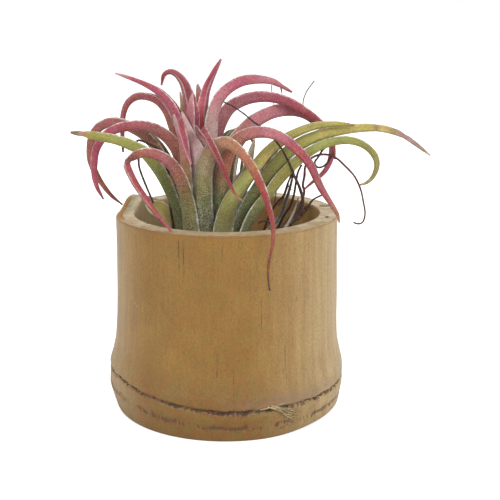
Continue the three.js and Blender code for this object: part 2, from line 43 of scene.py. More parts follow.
palette = {
    # hotPink, pinkGlow and sunGreen are brighter than the leaves' own colours and marginWhite whiter than
    # the margins: painted light that lifts leaf walls, undersides and margins lying in shade. glowRed is
    # painted light glowing through the spike leaf
    "crimson": (162, 52, 70), "magenta": (178, 70, 98), "deepRed": (146, 38, 48), "darkRed": (112, 38, 40),
    "glowRed": (214, 74, 78), "hotPink": (216, 78, 104), "pinkGlow": (236, 136, 152),
    "mauve": (168, 86, 94), "dustyPink": (188, 108, 120), "rosePale": (212, 166, 168),
    "silverPink": (198, 156, 152), "ash": (170, 134, 132), "brick": (158, 84, 68), "russet": (136, 78, 50),
    "redOrange": (158, 62, 52),
    "orange": (172, 98, 68), "apricot": (176, 126, 90), "tan": (164, 142, 98), "oliveBrown": (130, 102, 54),
    "oliveYellow": (162, 154, 72), "olive": (134, 128, 60), "leafGreen": (104, 112, 50),
    "darkGreen": (70, 78, 34), "greyGreen": (92, 96, 52), "silverGreen": (146, 152, 108),
    "limeGreen": (156, 160, 76), "sunGreen": (192, 178, 92), "paleGreen": (168, 166, 110),
    "paleTip": (214, 190, 176), "withered": (64, 48, 42), "driedGrey": (120, 106, 92),
    "bleachedGrey": (190, 182, 164), "scaleWhite": (234, 234, 218), "marginWhite": (252, 252, 242),
    "gold": (214, 160, 96),
}


def toLinear(colour):
    values = [c / 255 for c in colour]
    return tuple(c / 12.92 if c <= 0.04045 else ((c + 0.055) / 1.055) ** 2.4 for c in values) + (1.0,)


def tint(name):
    return toLinear(palette[name])


desk = {"tree": None}  # the node tree that the helpers below add to


# A node's output that takes part in plain arithmetic
class Wire:
    def __init__(self, socket):
        self.socket = socket

    def __add__(self, other):
        return calc("ADD", self, other)

    def __sub__(self, other):
        return calc("SUBTRACT", self, other)

    def __rsub__(self, other):
        return calc("SUBTRACT", other, self)

    def __mul__(self, other):
        return calc("MULTIPLY", self, other)

    def __truediv__(self, other):
        return calc("DIVIDE", self, other)

    def __rtruediv__(self, other):
        return calc("DIVIDE", other, self)

    __radd__, __rmul__ = __add__, __mul__


def feed(socket, value):
    if isinstance(value, Wire):
        desk["tree"].links.new(value.socket, socket)
    else:
        socket.default_value = value


def addNode(kind, inputs=None, output=0, **settings):
    node = desk["tree"].nodes.new(kind)
    for key, value in settings.items():
        setattr(node, key, value)
    for key, value in (inputs or {}).items():
        feed(node.inputs[key], value)
    return Wire(node.outputs[output])


def calc(operation, *values):
    return addNode("ShaderNodeMath", dict(enumerate(values)), operation=operation)


def vectorCalc(operation, first, second=None, output=0):
    inputs = {0: first}
    if second is not None:
        inputs["Scale" if operation == "SCALE" else 1] = second
    return addNode("ShaderNodeVectorMath", inputs, output, operation=operation)


def combine(*values):
    return addNode("ShaderNodeCombineXYZ", dict(enumerate(values)))


def separate(vector):
    node = desk["tree"].nodes.new("ShaderNodeSeparateXYZ")
    feed(node.inputs[0], vector)
    return [Wire(socket) for socket in node.outputs]


def ramp(value, low, high, toLow=0.0, toHigh=1.0):
    inputs = {"Value": value, "From Min": low, "From Max": high, "To Min": toLow, "To Max": toHigh}
    return addNode("ShaderNodeMapRange", inputs, interpolation_type="SMOOTHSTEP")


def mix(factor, first, second):
    return addNode("ShaderNodeMix", {0: factor, 6: first, 7: second}, 2, data_type="RGBA")


def cloudy(place, scale, detail, output=0, seed=None):
    inputs = {"Vector": place, "Scale": scale, "Detail": detail}
    if seed is None:
        return addNode("ShaderNodeTexNoise", inputs, output)
    return addNode("ShaderNodeTexNoise", {**inputs, "W": seed}, output, noise_dimensions="4D")


def readAttribute(name, output="Fac"):
    return addNode("ShaderNodeAttribute", output=output, attribute_name=name)


# Effects that several materials share; an input given as None is a vector
def startEffect(name, **inputs):
    group = bpy.data.node_groups.new(name, "ShaderNodeTree")
    desk["tree"] = group
    for label, value in inputs.items():
        kind = "NodeSocketVector" if value is None else "NodeSocketFloat"
        socket = group.interface.new_socket(label, in_out="INPUT", socket_type=kind)
        if value is not None:
            socket.default_value = value
    enter = group.nodes.new("NodeGroupInput")
    return group, [Wire(enter.outputs[label]) for label in inputs]


def finishEffect(group, label, value):
    group.interface.new_socket(label, in_out="OUTPUT", socket_type="NodeSocketFloat")
    feed(group.nodes.new("NodeGroupOutput").inputs[label], value)


def useEffect(group, **inputs):
    return addNode("ShaderNodeGroup", inputs, node_tree=group)


# Streaks that run along Y of the place it is given: veins of a leaf, wrinkles of a dry strand
lengthFibres, (place, fineness, stretch, seed) = startEffect("lengthFibres", Place=None, Fineness=2.0,
                                                             Stretch=0.04, Seed=0.0)
streak = addNode("ShaderNodeTexNoise",
                 {"Vector": vectorCalc("MULTIPLY", place, combine(fineness, fineness * stretch, fineness)),
                  "W": seed, "Scale": 1.0, "Detail": 3.0, "Roughness": 0.6}, noise_dimensions="4D")
finishEffect(lengthFibres, "Streak", ramp(streak, 0.3, 0.7))

# Small round scales or specks; Share is how much of the surface they cover
scalySpecks, (place, size, share) = startEffect("scalySpecks", Place=None, Size=0.4, Share=0.5)
cells = addNode("ShaderNodeTexVoronoi", {"Vector": place, "Scale": 1.0 / size, "Randomness": 1.0},
                feature="F1")
finishEffect(scalySpecks, "Speck", ramp(share * 0.85 - cells, -0.12, 0.12))

# Slow change of tone over a surface
toneDrift, (place, size, seed) = startEffect("toneDrift", Place=None, Size=8.0, Seed=0.0)
finishEffect(toneDrift, "Drift", ramp(cloudy(place, 1.0 / size, 3.0, seed=seed), 0.32, 0.68))

# One hairline crack that runs up a culm at an azimuth, between two heights
crackRun = {"radius": 40.0, "wander": 0.9, "fade": 2.0}
hairlineCrack, (place, azimuth, low, high, width) = startEffect("hairlineCrack", Place=None, Azimuth=0.0,
                                                                Low=0.0, High=10.0, Width=0.2)
x, y, height = separate(place)
wander = addNode("ShaderNodeTexNoise", {"W": height + azimuth, "Scale": 0.3, "Detail": 5.0},
                 noise_dimensions="1D")
aside = calc("ARCTAN2", y, x) * crackRun["radius"] - azimuth * math.radians(crackRun["radius"])
aside = aside + (wander - 0.5) * crackRun["wander"]
line = ramp(calc("ABSOLUTE", aside), 0.0, width, 1.0, 0.0)
ends = ramp(height - low, 0.0, crackRun["fade"]) * ramp(high - height, 0.0, crackRun["fade"])
finishEffect(hairlineCrack, "Crack", line * ends * ramp(wander, 0.38, 0.52, 0.3, 1.0))


def startMaterial(name, roughness, specular=0.5, sheen=0.0, coat=0.0):
    material = bpy.data.materials.new(name)
    material.use_nodes = True
    desk["tree"] = material.node_tree
    shader = material.node_tree.nodes["Principled BSDF"].inputs
    for key, value in {"Roughness": roughness, "Specular IOR Level": specular, "Sheen Weight": sheen,
                       "Sheen Roughness": 0.35, "Coat Weight": coat, "Coat Roughness": 0.35}.items():
        shader[key].default_value = value
    return material, shader


def finishSurface(shader, colour, height, distance, strength=1.0):
    feed(shader["Base Color"], colour)
    feed(shader["Normal"],
         addNode("ShaderNodeBump", {"Height": height, "Distance": distance * mm, "Strength": strength}))


def makeLeafMaterial(name, roughness, sheen, spot, spotStrength):
    material, shader = startMaterial(name, roughness, specular=0.35, sheen=sheen)
    place = readAttribute("leafPlace", "Vector")
    edgeGap, scurf = readAttribute("edgeGap"), readAttribute("scurf")
    colour = mix(readAttribute("underside"), readAttribute("innerTint", "Color"),
                 readAttribute("outerTint", "Color"))

    tone = useEffect(toneDrift, Place=place, Size=5.0)
    warmth = useEffect(toneDrift, Place=place, Size=2.6, Seed=8.0)
    patches = useEffect(toneDrift, Place=place, Size=2.2, Seed=4.0)
    grain = useEffect(lengthFibres, Place=place, Fineness=2.2, Stretch=0.45, Seed=2.0)
    veins = useEffect(lengthFibres, Place=place, Fineness=1.25, Stretch=0.05)
    level = ramp(tone, 0, 1, 0.94, 1.12) + ramp(veins, 0, 1, -0.08, 0.08) + ramp(grain, 0, 1, -0.17, 0.17)
    level = level * ramp(scurf, 0.1, 0.7, 1.0, 0.84)
    hue = ramp(warmth, 0, 1, 0.492, 0.508)
    colour = addNode("ShaderNodeHueSaturation", {"Hue": hue, "Value": level, "Color": colour})
    spots = useEffect(scalySpecks, Place=place, Size=0.7, Share=0.32)
    colour = mix(spots * spotStrength, colour, tint(spot))

    # silvery scales, then the pale margins, which fray a little
    scales = useEffect(scalySpecks, Place=place, Size=0.31, Share=0.54)
    colour = mix((scales * 0.8 + 0.06) * scurf * ramp(patches, 0, 1, 0.5, 1.0), colour, tint("scaleWhite"))
    frayed = edgeGap + ramp(grain, 0, 1, -0.22, 0.22)
    margin = ramp(frayed, 0.1, ramp(scurf, 0.15, 0.6, 0.34, 0.75), 0.9, 0.0) * ramp(patches, 0, 1, 0.4, 1.0)
    broad = ramp(readAttribute("railWidth"), 1.2 * mm, 4 * mm)
    colour = mix(margin * broad, colour, tint("marginWhite"))
    finishSurface(shader, colour, veins * 0.8 + (scales + grain), 0.09, 0.8)
    return material


def makeStrandMaterial(name, base, pale, paleShare):
    material, shader = startMaterial(name, 0.7, specular=0.3)
    place, scurf = readAttribute("leafPlace", "Vector"), readAttribute("scurf")
    tone = useEffect(toneDrift, Place=place, Size=3.0)
    wrinkles = useEffect(lengthFibres, Place=place, Fineness=3.0, Stretch=0.12)
    flakes = useEffect(scalySpecks, Place=place, Size=0.55, Share=paleShare)
    crust = useEffect(scalySpecks, Place=place, Size=0.55, Share=0.46)
    colour = mix(tone, toLinear(base), toLinear([c * 0.62 for c in base]))
    colour = mix(wrinkles * 0.22, colour, toLinear(pale))
    colour = mix(flakes * (scurf + 0.1), colour, toLinear(pale))
    colour = mix(crust * scurf, colour, tint("scaleWhite"))
    finishSurface(shader, colour, wrinkles + flakes, 0.1)
    return material


leafMaterial = makeLeafMaterial("blushingLeaf", 0.6, 0.25, "gold", 0.3)
deadLeafMaterial = makeLeafMaterial("deadLeaf", 0.8, 0.1, "withered", 0.5)
strandMaterial = makeStrandMaterial("dryStrand", (78, 50, 46), (150, 130, 112), 0.3)
youngStrandMaterial = makeStrandMaterial("youngStrand", (118, 70, 72), (160, 124, 112), 0.25)
sliverMaterial = makeStrandMaterial("pinkSliver", (176, 88, 104), (206, 150, 150), 0.3)
barkMaterial = makeStrandMaterial("stemBark", (96, 74, 54), (150, 128, 100), 0.3)
fibreMaterial = makeStrandMaterial("looseFibre", (244, 216, 160), (252, 240, 206), 0.6)
print("leaf and strand materials ready")

view = {"place": (0, -350, 145.3), "lens": 70.92, "sensor": 36, "nearest": 10, "tiltDown": 14.18,
        "turnRight": 1.29}
studio = {  # in metres
    "floorSize": 6.0, "floorColour": (226, 226, 224), "floorGlow": 0.66, "sky": 0.5, "skySeen": 1.0,
    "lookAt": (0, 0, 0.06),
    "lamps": [  # place, size, power
        ((0.75, -0.7, 0.85), 0.8, 6.2), ((-0.8, -0.6, 0.65), 0.8, 3.9),
        ((0.05, -1.1, 0.6), 0.6, 1.9), ((0.1, 0.8, 0.9), 0.8, 6.0),
    ],
}


def addToScene(name, data):
    thing = bpy.data.objects.new(name, data)
    bpy.context.scene.collection.objects.link(thing)
    return thing


def buildStudio():
    camera = addToScene("viewCamera", bpy.data.cameras.new("viewCamera"))
    camera.data.lens, camera.data.sensor_width = view["lens"], view["sensor"]
    camera.data.clip_start = view["nearest"] * mm
    camera.location = [c * mm for c in view["place"]]
    camera.rotation_euler = (math.radians(90 - view["tiltDown"]), 0, math.radians(-view["turnRight"]))
    bpy.context.scene.camera = camera

    half = studio["floorSize"] / 2
    mesh = bpy.data.meshes.new("floor")
    corners = [(x * half, y * half, 0) for x, y in ((-1, -1), (1, -1), (1, 1), (-1, 1))]
    mesh.from_pydata(corners, [], [(0, 1, 2, 3)])
    material, shader = startMaterial("paleFloor", 0.9, specular=0.1)
    grain = addNode("ShaderNodeTexNoise", {"Scale": 900.0, "Detail": 2.0})
    feed(shader["Base Color"], mix(ramp(grain, 0.3, 0.7, 0.0, 0.03), toLinear(studio["floorColour"]),
                                   (0.5, 0.5, 0.5, 1)))
    shader["Emission Color"].default_value = (1, 1, 1, 1)
    seen = addNode("ShaderNodeLightPath", output="Is Camera Ray")
    feed(shader["Emission Strength"], seen * studio["floorGlow"])
    mesh.materials.append(material)
    addToScene("floor", mesh)

    world = bpy.data.worlds.new("softSky")
    world.use_nodes = True
    desk["tree"] = world.node_tree
    sky = world.node_tree.nodes["Background"].inputs
    seen = addNode("ShaderNodeLightPath", output="Is Camera Ray")
    feed(sky["Strength"], ramp(seen, 0.0, 1.0, studio["sky"], studio["skySeen"]))
    sky["Color"].default_value = (1, 1, 1, 1)
    bpy.context.scene.world = world
    for i, (place, size, power) in enumerate(studio["lamps"], 1):
        lamp = addToScene(f"softBox{i}", bpy.data.lights.new(f"softBox{i}", "AREA"))
        lamp.data.shape, lamp.data.size, lamp.data.energy = "DISK", size, power
        lamp.location = place
        lamp.rotation_euler = (Vector(studio["lookAt"]) - Vector(place)).to_track_quat("-Z", "Y").to_euler()


buildStudio()
bpy.context.scene.view_settings.view_transform = "Standard"
print("camera and studio ready")


# A node's name from its piece's name: topArchLeaf stands for top_arch_leaf
def nodeNamed(name):
    return "".join("_" + c.lower() if c.isupper() or c.isdigit() else c for c in name)


def placePiece(name, mesh, slotName, *nodes):
    piece = addToScene(name, mesh)
    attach(piece, "root")
    if nodes:
        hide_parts(*nodes)
    return piece


def turnOutwards(mesh):
    shell = bmesh.new()
    shell.from_mesh(mesh)
    bmesh.ops.recalc_face_normals(shell, faces=shell.faces)
    shell.to_mesh(mesh)
    shell.free()


def smoothStep(low, high, value):
    t = np.clip((value - low) / (high - low), 0, 1)
    return t * t * (3 - 2 * t)


def bell(offset, width):
    return np.exp(-(offset / width) ** 2)


def valueRun(stops, t):
    return np.interp(t, *zip(*stops))


# 1 at the middle azimuth, down to 0 over the spread, times the size
def fadeRound(azimuth, middle, spread, size):
    offset = np.abs((azimuth - middle + 540) % 360 - 180)
    return size * (1 - smoothStep(0, spread, offset))


# One run of noise round a ring for each seed
def noiseRound(ring, seeds, bumps):
    dx, dz = cup["seedStep"]
    places = [[(seed * dx + bumps * x, bumps * y, seed * dz) for x, y in ring] for seed in seeds]
    return np.array([[noise.noise(Vector(place)) for place in run] for run in places])


cup = {
    "radius": 40, "height": 71.5, "wall": 6.6, "floor": 12.5, "fillet": 4, "sawnEdge": 0.3, "columns": 640,
    "skin": [(0, 41.1), (0.5, 41.6), (4.6, 42.6), (8.6, 43.5), (10.5, 43.4), (12.1, 43.3), (16, 43.2),
             (20, 42.2), (25, 41.1), (33, 40.6), (45, 40.3), (60, 40), (71.2, 40)],  # height, radius
    "lean": {"foot": 0.6, "node": 1.0, "rim": 0.45},
    "wornRim": [(178, 20, 1.1), (2, 12, 1.3)],  # azimuth, spread, depth
    "wornFoot": (-38, 36, 0.8), "lip": (155, 16, 3.0), "wornThrough": (180, 34, 1.0),
    "greenRim": (158, 40, 1.0), "slowBumps": 9, "raggedBumps": 45, "seedStep": (7.31, 3.17),
    "footRings": (4, 12, 20, 28, 36), "floorRings": (25, 20, 15, 10, 5),
    "rimShares": (0.0, 0.06, 0.14, 0.22, 0.28, 0.34, 0.4, 0.5, 0.6, 0.7, 0.8, 0.93, 1.0),
    "nodeRise": [(-180, 4.2), (-150, 4.2), (-92, 0), (60, 0), (150, 3.78), (180, 4.2)],  # azimuth, height
    "groove": {"height": 11.3, "slow": 0.6, "ragged": 0.35, "depth": 1.25, "halfWidth": 0.55, "shelf": 0.22,
               "shelfEnd": 5.5},
    "dirt": {"width": 0.85, "wider": [(-92, 36, 0.9), (70, 50, 0.4)]},
    "scarLine": {"height": 5.1, "rise": 0.95, "slow": 0.9, "ragged": 0.4, "depth": 0.4, "width": 0.5,
                 "wider": (-125, 22, 0.35), "secondBelow": 1.7, "secondWidth": 0.35, "secondFrom": -122,
                 "secondTo": -134, "thirdHeight": 8.4, "thirdWidth": 1.2},
    "budScar": {"azimuth": -63.4, "height": 5.2, "wide": 2.1, "tall": 1.5, "skin": 42.6, "raised": 0.3,
                "sunk": 0.15},
    "bloom": {"round": (-55, 52, 0.8), "above": 2.4, "tall": 2.2},
}
cupMarks = {"grime": 0.0, "scar": 0.0, "outward": 1.0, "stain": 0.0, "golden": 0.0, "rimEdge": 0.0}
onSkin, onSawn, onInside = range(3)  # the cup's materials

bamboo = {name: toLinear(colour) for name, colour in {
    "skin": (151, 109, 31), "darkStreak": (134, 93, 30), "paleStreak": (174, 134, 54),
    "bleachedAndSheen": (202, 174, 124), "orangeStain": (160, 92, 34), "oliveStain": (130, 113, 48),
    "crack": (66, 42, 30), "grime": (74, 50, 38), "scar": (104, 66, 34), "bloom": (144, 116, 94),
    "nodeShade": (110, 78, 30), "sawn": (216, 200, 170), "sawnDark": (176, 152, 114),
    "bundle": (132, 104, 74), "greenStain": (136, 146, 112), "wornSkin": (168, 130, 74),
    "rimEdge": (140, 92, 44), "inside": (226, 194, 136), "insideDark": (184, 146, 92),
    "insideRed": (196, 148, 104), "litInsideOlive": (240, 226, 186),
}.items()}
culmMarks = {
    "cracks": [  # azimuth, low, high, width
        (-114, 58, 70.5, 0.3), (-111.5, 56, 68, 0.2), (-93, 62, 69, 0.18), (-74.3, 38, 50, 0.16),
        (-95.6, 22, 33, 0.16), (-88, 16, 26, 0.12), (-62, 20, 34, 0.12), (52, 30, 60, 0.18),
        (140, 18, 40, 0.16),
    ],
    # place and size
    "specks": [(27, -29.5, 66.3, 0.5), (-35, -23.3, 29.1, 0.45), (3, -40.4, 29, 0.35), (30, 28, 40, 0.5),
               (-20, 36, 55, 0.6)],
    "scratches": [(-32.3, -24.6, 44.4, 0.5), (-31.6, -25.5, 43.6, 0.4), (15.3, -37, 62.7, 0.35),
                  (24, 32.5, 58, 0.6)],
    "rim": [(34.4, 8.1, 71.5, 0.6), (35.1, 8.1, 71.5, 0.6), (35.8, 8.1, 71.5, 0.65),
            (36.5, 8.2, 71.5, 0.65), (37.1, 8.3, 71.5, 0.6), (34.8, -11.1, 71.5, 0.75),
            (-27.5, -19.2, 71.5, 0.8)],
}


# A point this far off the culm's skin
def offSkin(azimuth, height, away):
    radius = valueRun(cup["skin"], height) + away
    turn = math.radians(azimuth)
    return (radius * math.cos(turn) - cup["lean"]["node"], radius * math.sin(turn), height)


# Small marks round the loop of the bud scar
def budLoop():
    bud = cup["budScar"]
    marks = []
    for turn in np.linspace(0, 2 * math.pi, 15)[:-1]:
        aside = math.degrees(bud["wide"] / bud["skin"]) * math.cos(turn)
        place = offSkin(bud["azimuth"] + aside, bud["height"] + bud["tall"] * math.sin(turn), 0)
        marks.append((*place, 0.4 + 0.1 * math.sin(3 * turn)))
    return marks


# 1 in small round marks at fixed places, 0 elsewhere
def marksAt(place, marks, stretch=(1, 1, 1)):
    total, wobble = 0.0, 0.6
    place = vectorCalc("ADD", place, vectorCalc("SCALE", cloudy(place, 1.6, 2.0, "Color"), wobble))
    for *spot, size in marks:
        away = vectorCalc("SUBTRACT", place, [c + wobble / 2 for c in spot])
        length = vectorCalc("LENGTH", vectorCalc("MULTIPLY", away, stretch), output="Value")
        total = calc("MAXIMUM", total, ramp(length, size * 0.6, size * 1.2, 1.0, 0.0))
    return total


# The place on the object in millimetres, whole and as its three parts
def objectPlace():
    place = vectorCalc("SCALE", addNode("ShaderNodeTexCoord", output="Object"), 1 / mm)
    return place, separate(place)


# Lays bamboo colours over a colour, each with the share that it covers
def overlay(colour, *coats):
    for share, name in coats:
        colour = mix(share, colour, bamboo[name])
    return colour


def makeBambooSkin():
    material, shader = startMaterial("bambooSkin", 0.42, coat=0.3)
    place, (x, y, height) = objectPlace()
    along = combine(x, height, y)
    fine = useEffect(lengthFibres, Place=along, Fineness=1.9, Stretch=0.012)
    broad = useEffect(lengthFibres, Place=along, Fineness=0.32, Stretch=0.05, Seed=3.0)
    strokes = useEffect(lengthFibres, Place=along, Fineness=2.4, Stretch=0.1, Seed=6.0)
    strokes = ramp(strokes, 0.84, 1.0)
    grain = cloudy(place, 1.7, 3.0)
    cloud = useEffect(toneDrift, Place=place, Size=14.0, Seed=1.0)
    blotch = useEffect(toneDrift, Place=place, Size=9.0, Seed=12.0)
    olive = useEffect(toneDrift, Place=place, Size=3.4, Seed=9.0)
    mottle = useEffect(toneDrift, Place=place, Size=2.4, Seed=7.0)

    # streaks and stains, darker near the groove, and paler towards both sides: partly sun bleaching, partly
    # a painted sheen where light grazes the culm's sides
    nearGroove = ramp(height, 28.0, 13.5)
    sideBleachAndSheen = ramp(x, 4.0, 41.0) * 0.85 + ramp(x, -26.0, -44.0) * 0.5
    colour = overlay(
        bamboo["skin"], (broad * 0.7, "darkStreak"), (cloud * 0.55, "paleStreak"),
        (blotch * 0.4, "darkStreak"), (nearGroove * 0.66, "nodeShade"),
        (fine * ramp(nearGroove, 0, 1, 0.34, 0.7), "darkStreak"),
        (mottle * ramp(nearGroove, 0, 1, 0.22, 0.45), "orangeStain"),
        (olive * ramp(nearGroove, 0, 1, 0.25, 0.5), "oliveStain"),
        (sideBleachAndSheen * ramp(broad, 0, 1, 1.0, 0.6), "bleachedAndSheen"), (strokes * 0.28, "scar"))
    level = ramp(grain, 0.3, 0.7, 0.88, 1.12)
    colour = addNode("ShaderNodeHueSaturation", {"Value": level, "Color": colour})

    cracks = 0.0
    for azimuth, low, high, width in culmMarks["cracks"]:
        crack = useEffect(hairlineCrack, Place=place, Azimuth=azimuth, Low=low, High=high, Width=width)
        cracks = calc("MAXIMUM", cracks, crack)
    specks = calc("MAXIMUM", cracks, marksAt(place, culmMarks["specks"]))
    scratches = marksAt(place, culmMarks["scratches"], (1.6, 1.6, 0.8))
    # the same noise frays the edges of the scar lines and of the dark band in the groove, which is dirt
    # with painted shade
    ragged = ramp(cloudy(place, 1.3, 4.0), 0.3, 0.7, -0.35, 0.35)
    grime = ramp(readAttribute("grime") + ragged, 0.2, 0.9, 0.0, 0.92)
    colour = overlay(
        colour, (specks * 0.85, "crack"), (scratches * 0.6, "bleachedAndSheen"),
        (readAttribute("rimEdge") * ramp(grain, 0.35, 0.6, 0.5, 1.0), "rimEdge"),
        (readAttribute("stain") * ramp(mottle, 0, 1, 0.5, 1.0), "bloom"),
        (ramp(readAttribute("scar") + ragged, 0.15, 0.85, 0.0, 0.85), "scar"), (grime, "grime"),
        (marksAt(place, budLoop()), "scar"))
    feed(shader["Roughness"], ramp(fine, 0, 1, 0.4, 0.52) + grime * 0.4)
    finishSurface(shader, colour, fine * 0.35 - cracks * 2.0 - strokes * 0.6, 0.06)
    return material


def makeSawnBamboo():
    material, shader = startMaterial("sawnBamboo", 0.8, specular=0.3)
    place, (_, y, _) = objectPlace()
    outward = readAttribute("outward")  # 0 at the inner edge, 1 at the skin
    tone = useEffect(toneDrift, Place=place, Size=4.5)
    bundles = useEffect(scalySpecks, Place=place, Size=0.7, Share=ramp(outward, 0.1, 1.0, 0.25, 0.5))
    colour = overlay(
        bamboo["sawn"], (tone * 0.8, "sawnDark"), (ramp(y, -18.0, -37.0, 0.0, 0.55), "sawnDark"),
        (bundles * 0.35, "bundle"), (readAttribute("stain") * ramp(tone, 0, 1, 0.5, 0.95), "greenStain"),
        (readAttribute("golden"), "wornSkin"), (readAttribute("grime"), "orangeStain"),
        (readAttribute("rimEdge"), "rimEdge"), (marksAt(place, culmMarks["rim"], (1, 0.5, 1)), "grime"))
    finishSurface(shader, colour, cloudy(place, 2.2, 4.0) - bundles * 0.5, 0.25)
    return material


def makeCulmInside():
    material, shader = startMaterial("culmInside", 0.6, specular=0.3)
    place, (x, y, height) = objectPlace()
    fine = useEffect(lengthFibres, Place=combine(x, height, y), Fineness=1.1, Stretch=0.03, Seed=5.0)
    tone = useEffect(toneDrift, Place=place, Size=7.0, Seed=2.0)
    # the inside is painted paler than its wood to lift the shade inside the cup, and the left inner wall
    # palest of all as painted light
    colour = overlay(
        bamboo["inside"], (tone, "insideDark"), (ramp(x, 26.0, 12.0) * 0.6, "insideRed"),
        (ramp(x, 2.0, -22.0), "litInsideOlive"), (fine * 0.3, "insideDark"))
    finishSurface(shader, colour, fine, 0.1)
    return material


# The skin's radius and marks at one height, with the ragged groove of the sheath scar, broken scar lines
# and a bud scar below it; loose and jags are slow and ragged noise
def skinRow(height, azimuth, loose, jags):
    groove, dirt, line = cup["groove"], cup["dirt"], cup["scarLine"]
    bud, bloom = cup["budScar"], cup["bloom"]
    spread = 1.3 if height > 17 else 0.4
    radius = np.mean([valueRun(cup["skin"], height + d) for d in (-spread, 0, spread)])
    radius = radius + 0.12 * loose[0] * smoothStep(0, 4, height) + 0.03 * jags[1]
    radius = radius - fadeRound(azimuth, *cup["wornFoot"]) * (1 - smoothStep(0, 2.2, height))

    rise = valueRun(cup["nodeRise"], azimuth)  # the node stands higher on the left
    above = height - (groove["height"] + rise + groove["slow"] * loose[0] + groove["ragged"] * jags[0])
    away = above / groove["halfWidth"]
    radius = radius - groove["depth"] * (0.75 + 0.5 * loose[1] + 0.35 * jags[2]) * bell(away, 1)
    shelf = smoothStep(0, 0.5, above) * (1 - smoothStep(0.5, groove["shelfEnd"], above))
    radius = radius + groove["shelf"] * shelf
    soilAndShadeWidth = dirt["width"] + sum(fadeRound(azimuth, *place) for place in dirt["wider"]) + 0.8 * loose[2]
    # a dark band in the groove and a patchy one just below it: dirt, with painted shade in the recess
    grime = np.clip(bell(away + 0.3, soilAndShadeWidth) * (0.85 + 0.9 * jags[1]), 0, 0.95)
    grime = np.maximum(grime, 0.7 * smoothStep(0.1, 0.5, jags[0] + loose[1]) * bell(away + 1.2, 1.1))

    lineHeight = line["height"] + line["rise"] * rise + line["slow"] * loose[1] + line["ragged"] * jags[1]
    fromLine = height - lineHeight
    lineWidth = line["width"] + 1.3 * np.abs(jags[1]) + 0.6 * np.clip(loose[0], 0, 1)
    lineWidth = lineWidth + fadeRound(azimuth, *line["wider"])
    broken = smoothStep(-0.42, 0.1, loose[2] + 0.9 * jags[2]) * bell(fromLine, lineWidth)
    radius = radius - line["depth"] * broken
    # a second line runs under it at the left, a faint third one over it
    second = bell(fromLine + line["secondBelow"] + 0.6 * loose[0], line["secondWidth"])
    second = second * np.clip(0.6 + 1.6 * jags[0], 0, 1)
    second = second * smoothStep(line["secondFrom"], line["secondTo"], azimuth)
    third = np.clip(jags[2] * 1.5, 0, 1) * bell(height - line["thirdHeight"], line["thirdWidth"])

    budAside = np.radians((azimuth - bud["azimuth"] + 540) % 360 - 180) * bud["skin"]
    fromBud = np.hypot(budAside / bud["wide"], (height - bud["height"]) / bud["tall"])
    raised = bud["raised"] * bell(fromBud - 1, 0.22) - bud["sunk"] * bell(fromBud, 0.5)
    radius = radius + raised * (fromBud < 2.2)
    scar = np.clip(broken * (1.15 + jags[0]), 0, 1)
    for other in (0.75 * second, 0.5 * bell(fromBud - 0.8, 0.2), 0.4 * third):
        scar = np.maximum(scar, other)
    stain = fadeRound(azimuth, *bloom["round"]) * bell(above - bloom["above"], bloom["tall"])
    return radius, {"grime": grime, "scar": scar, "stain": np.clip(stain, 0, 1)}


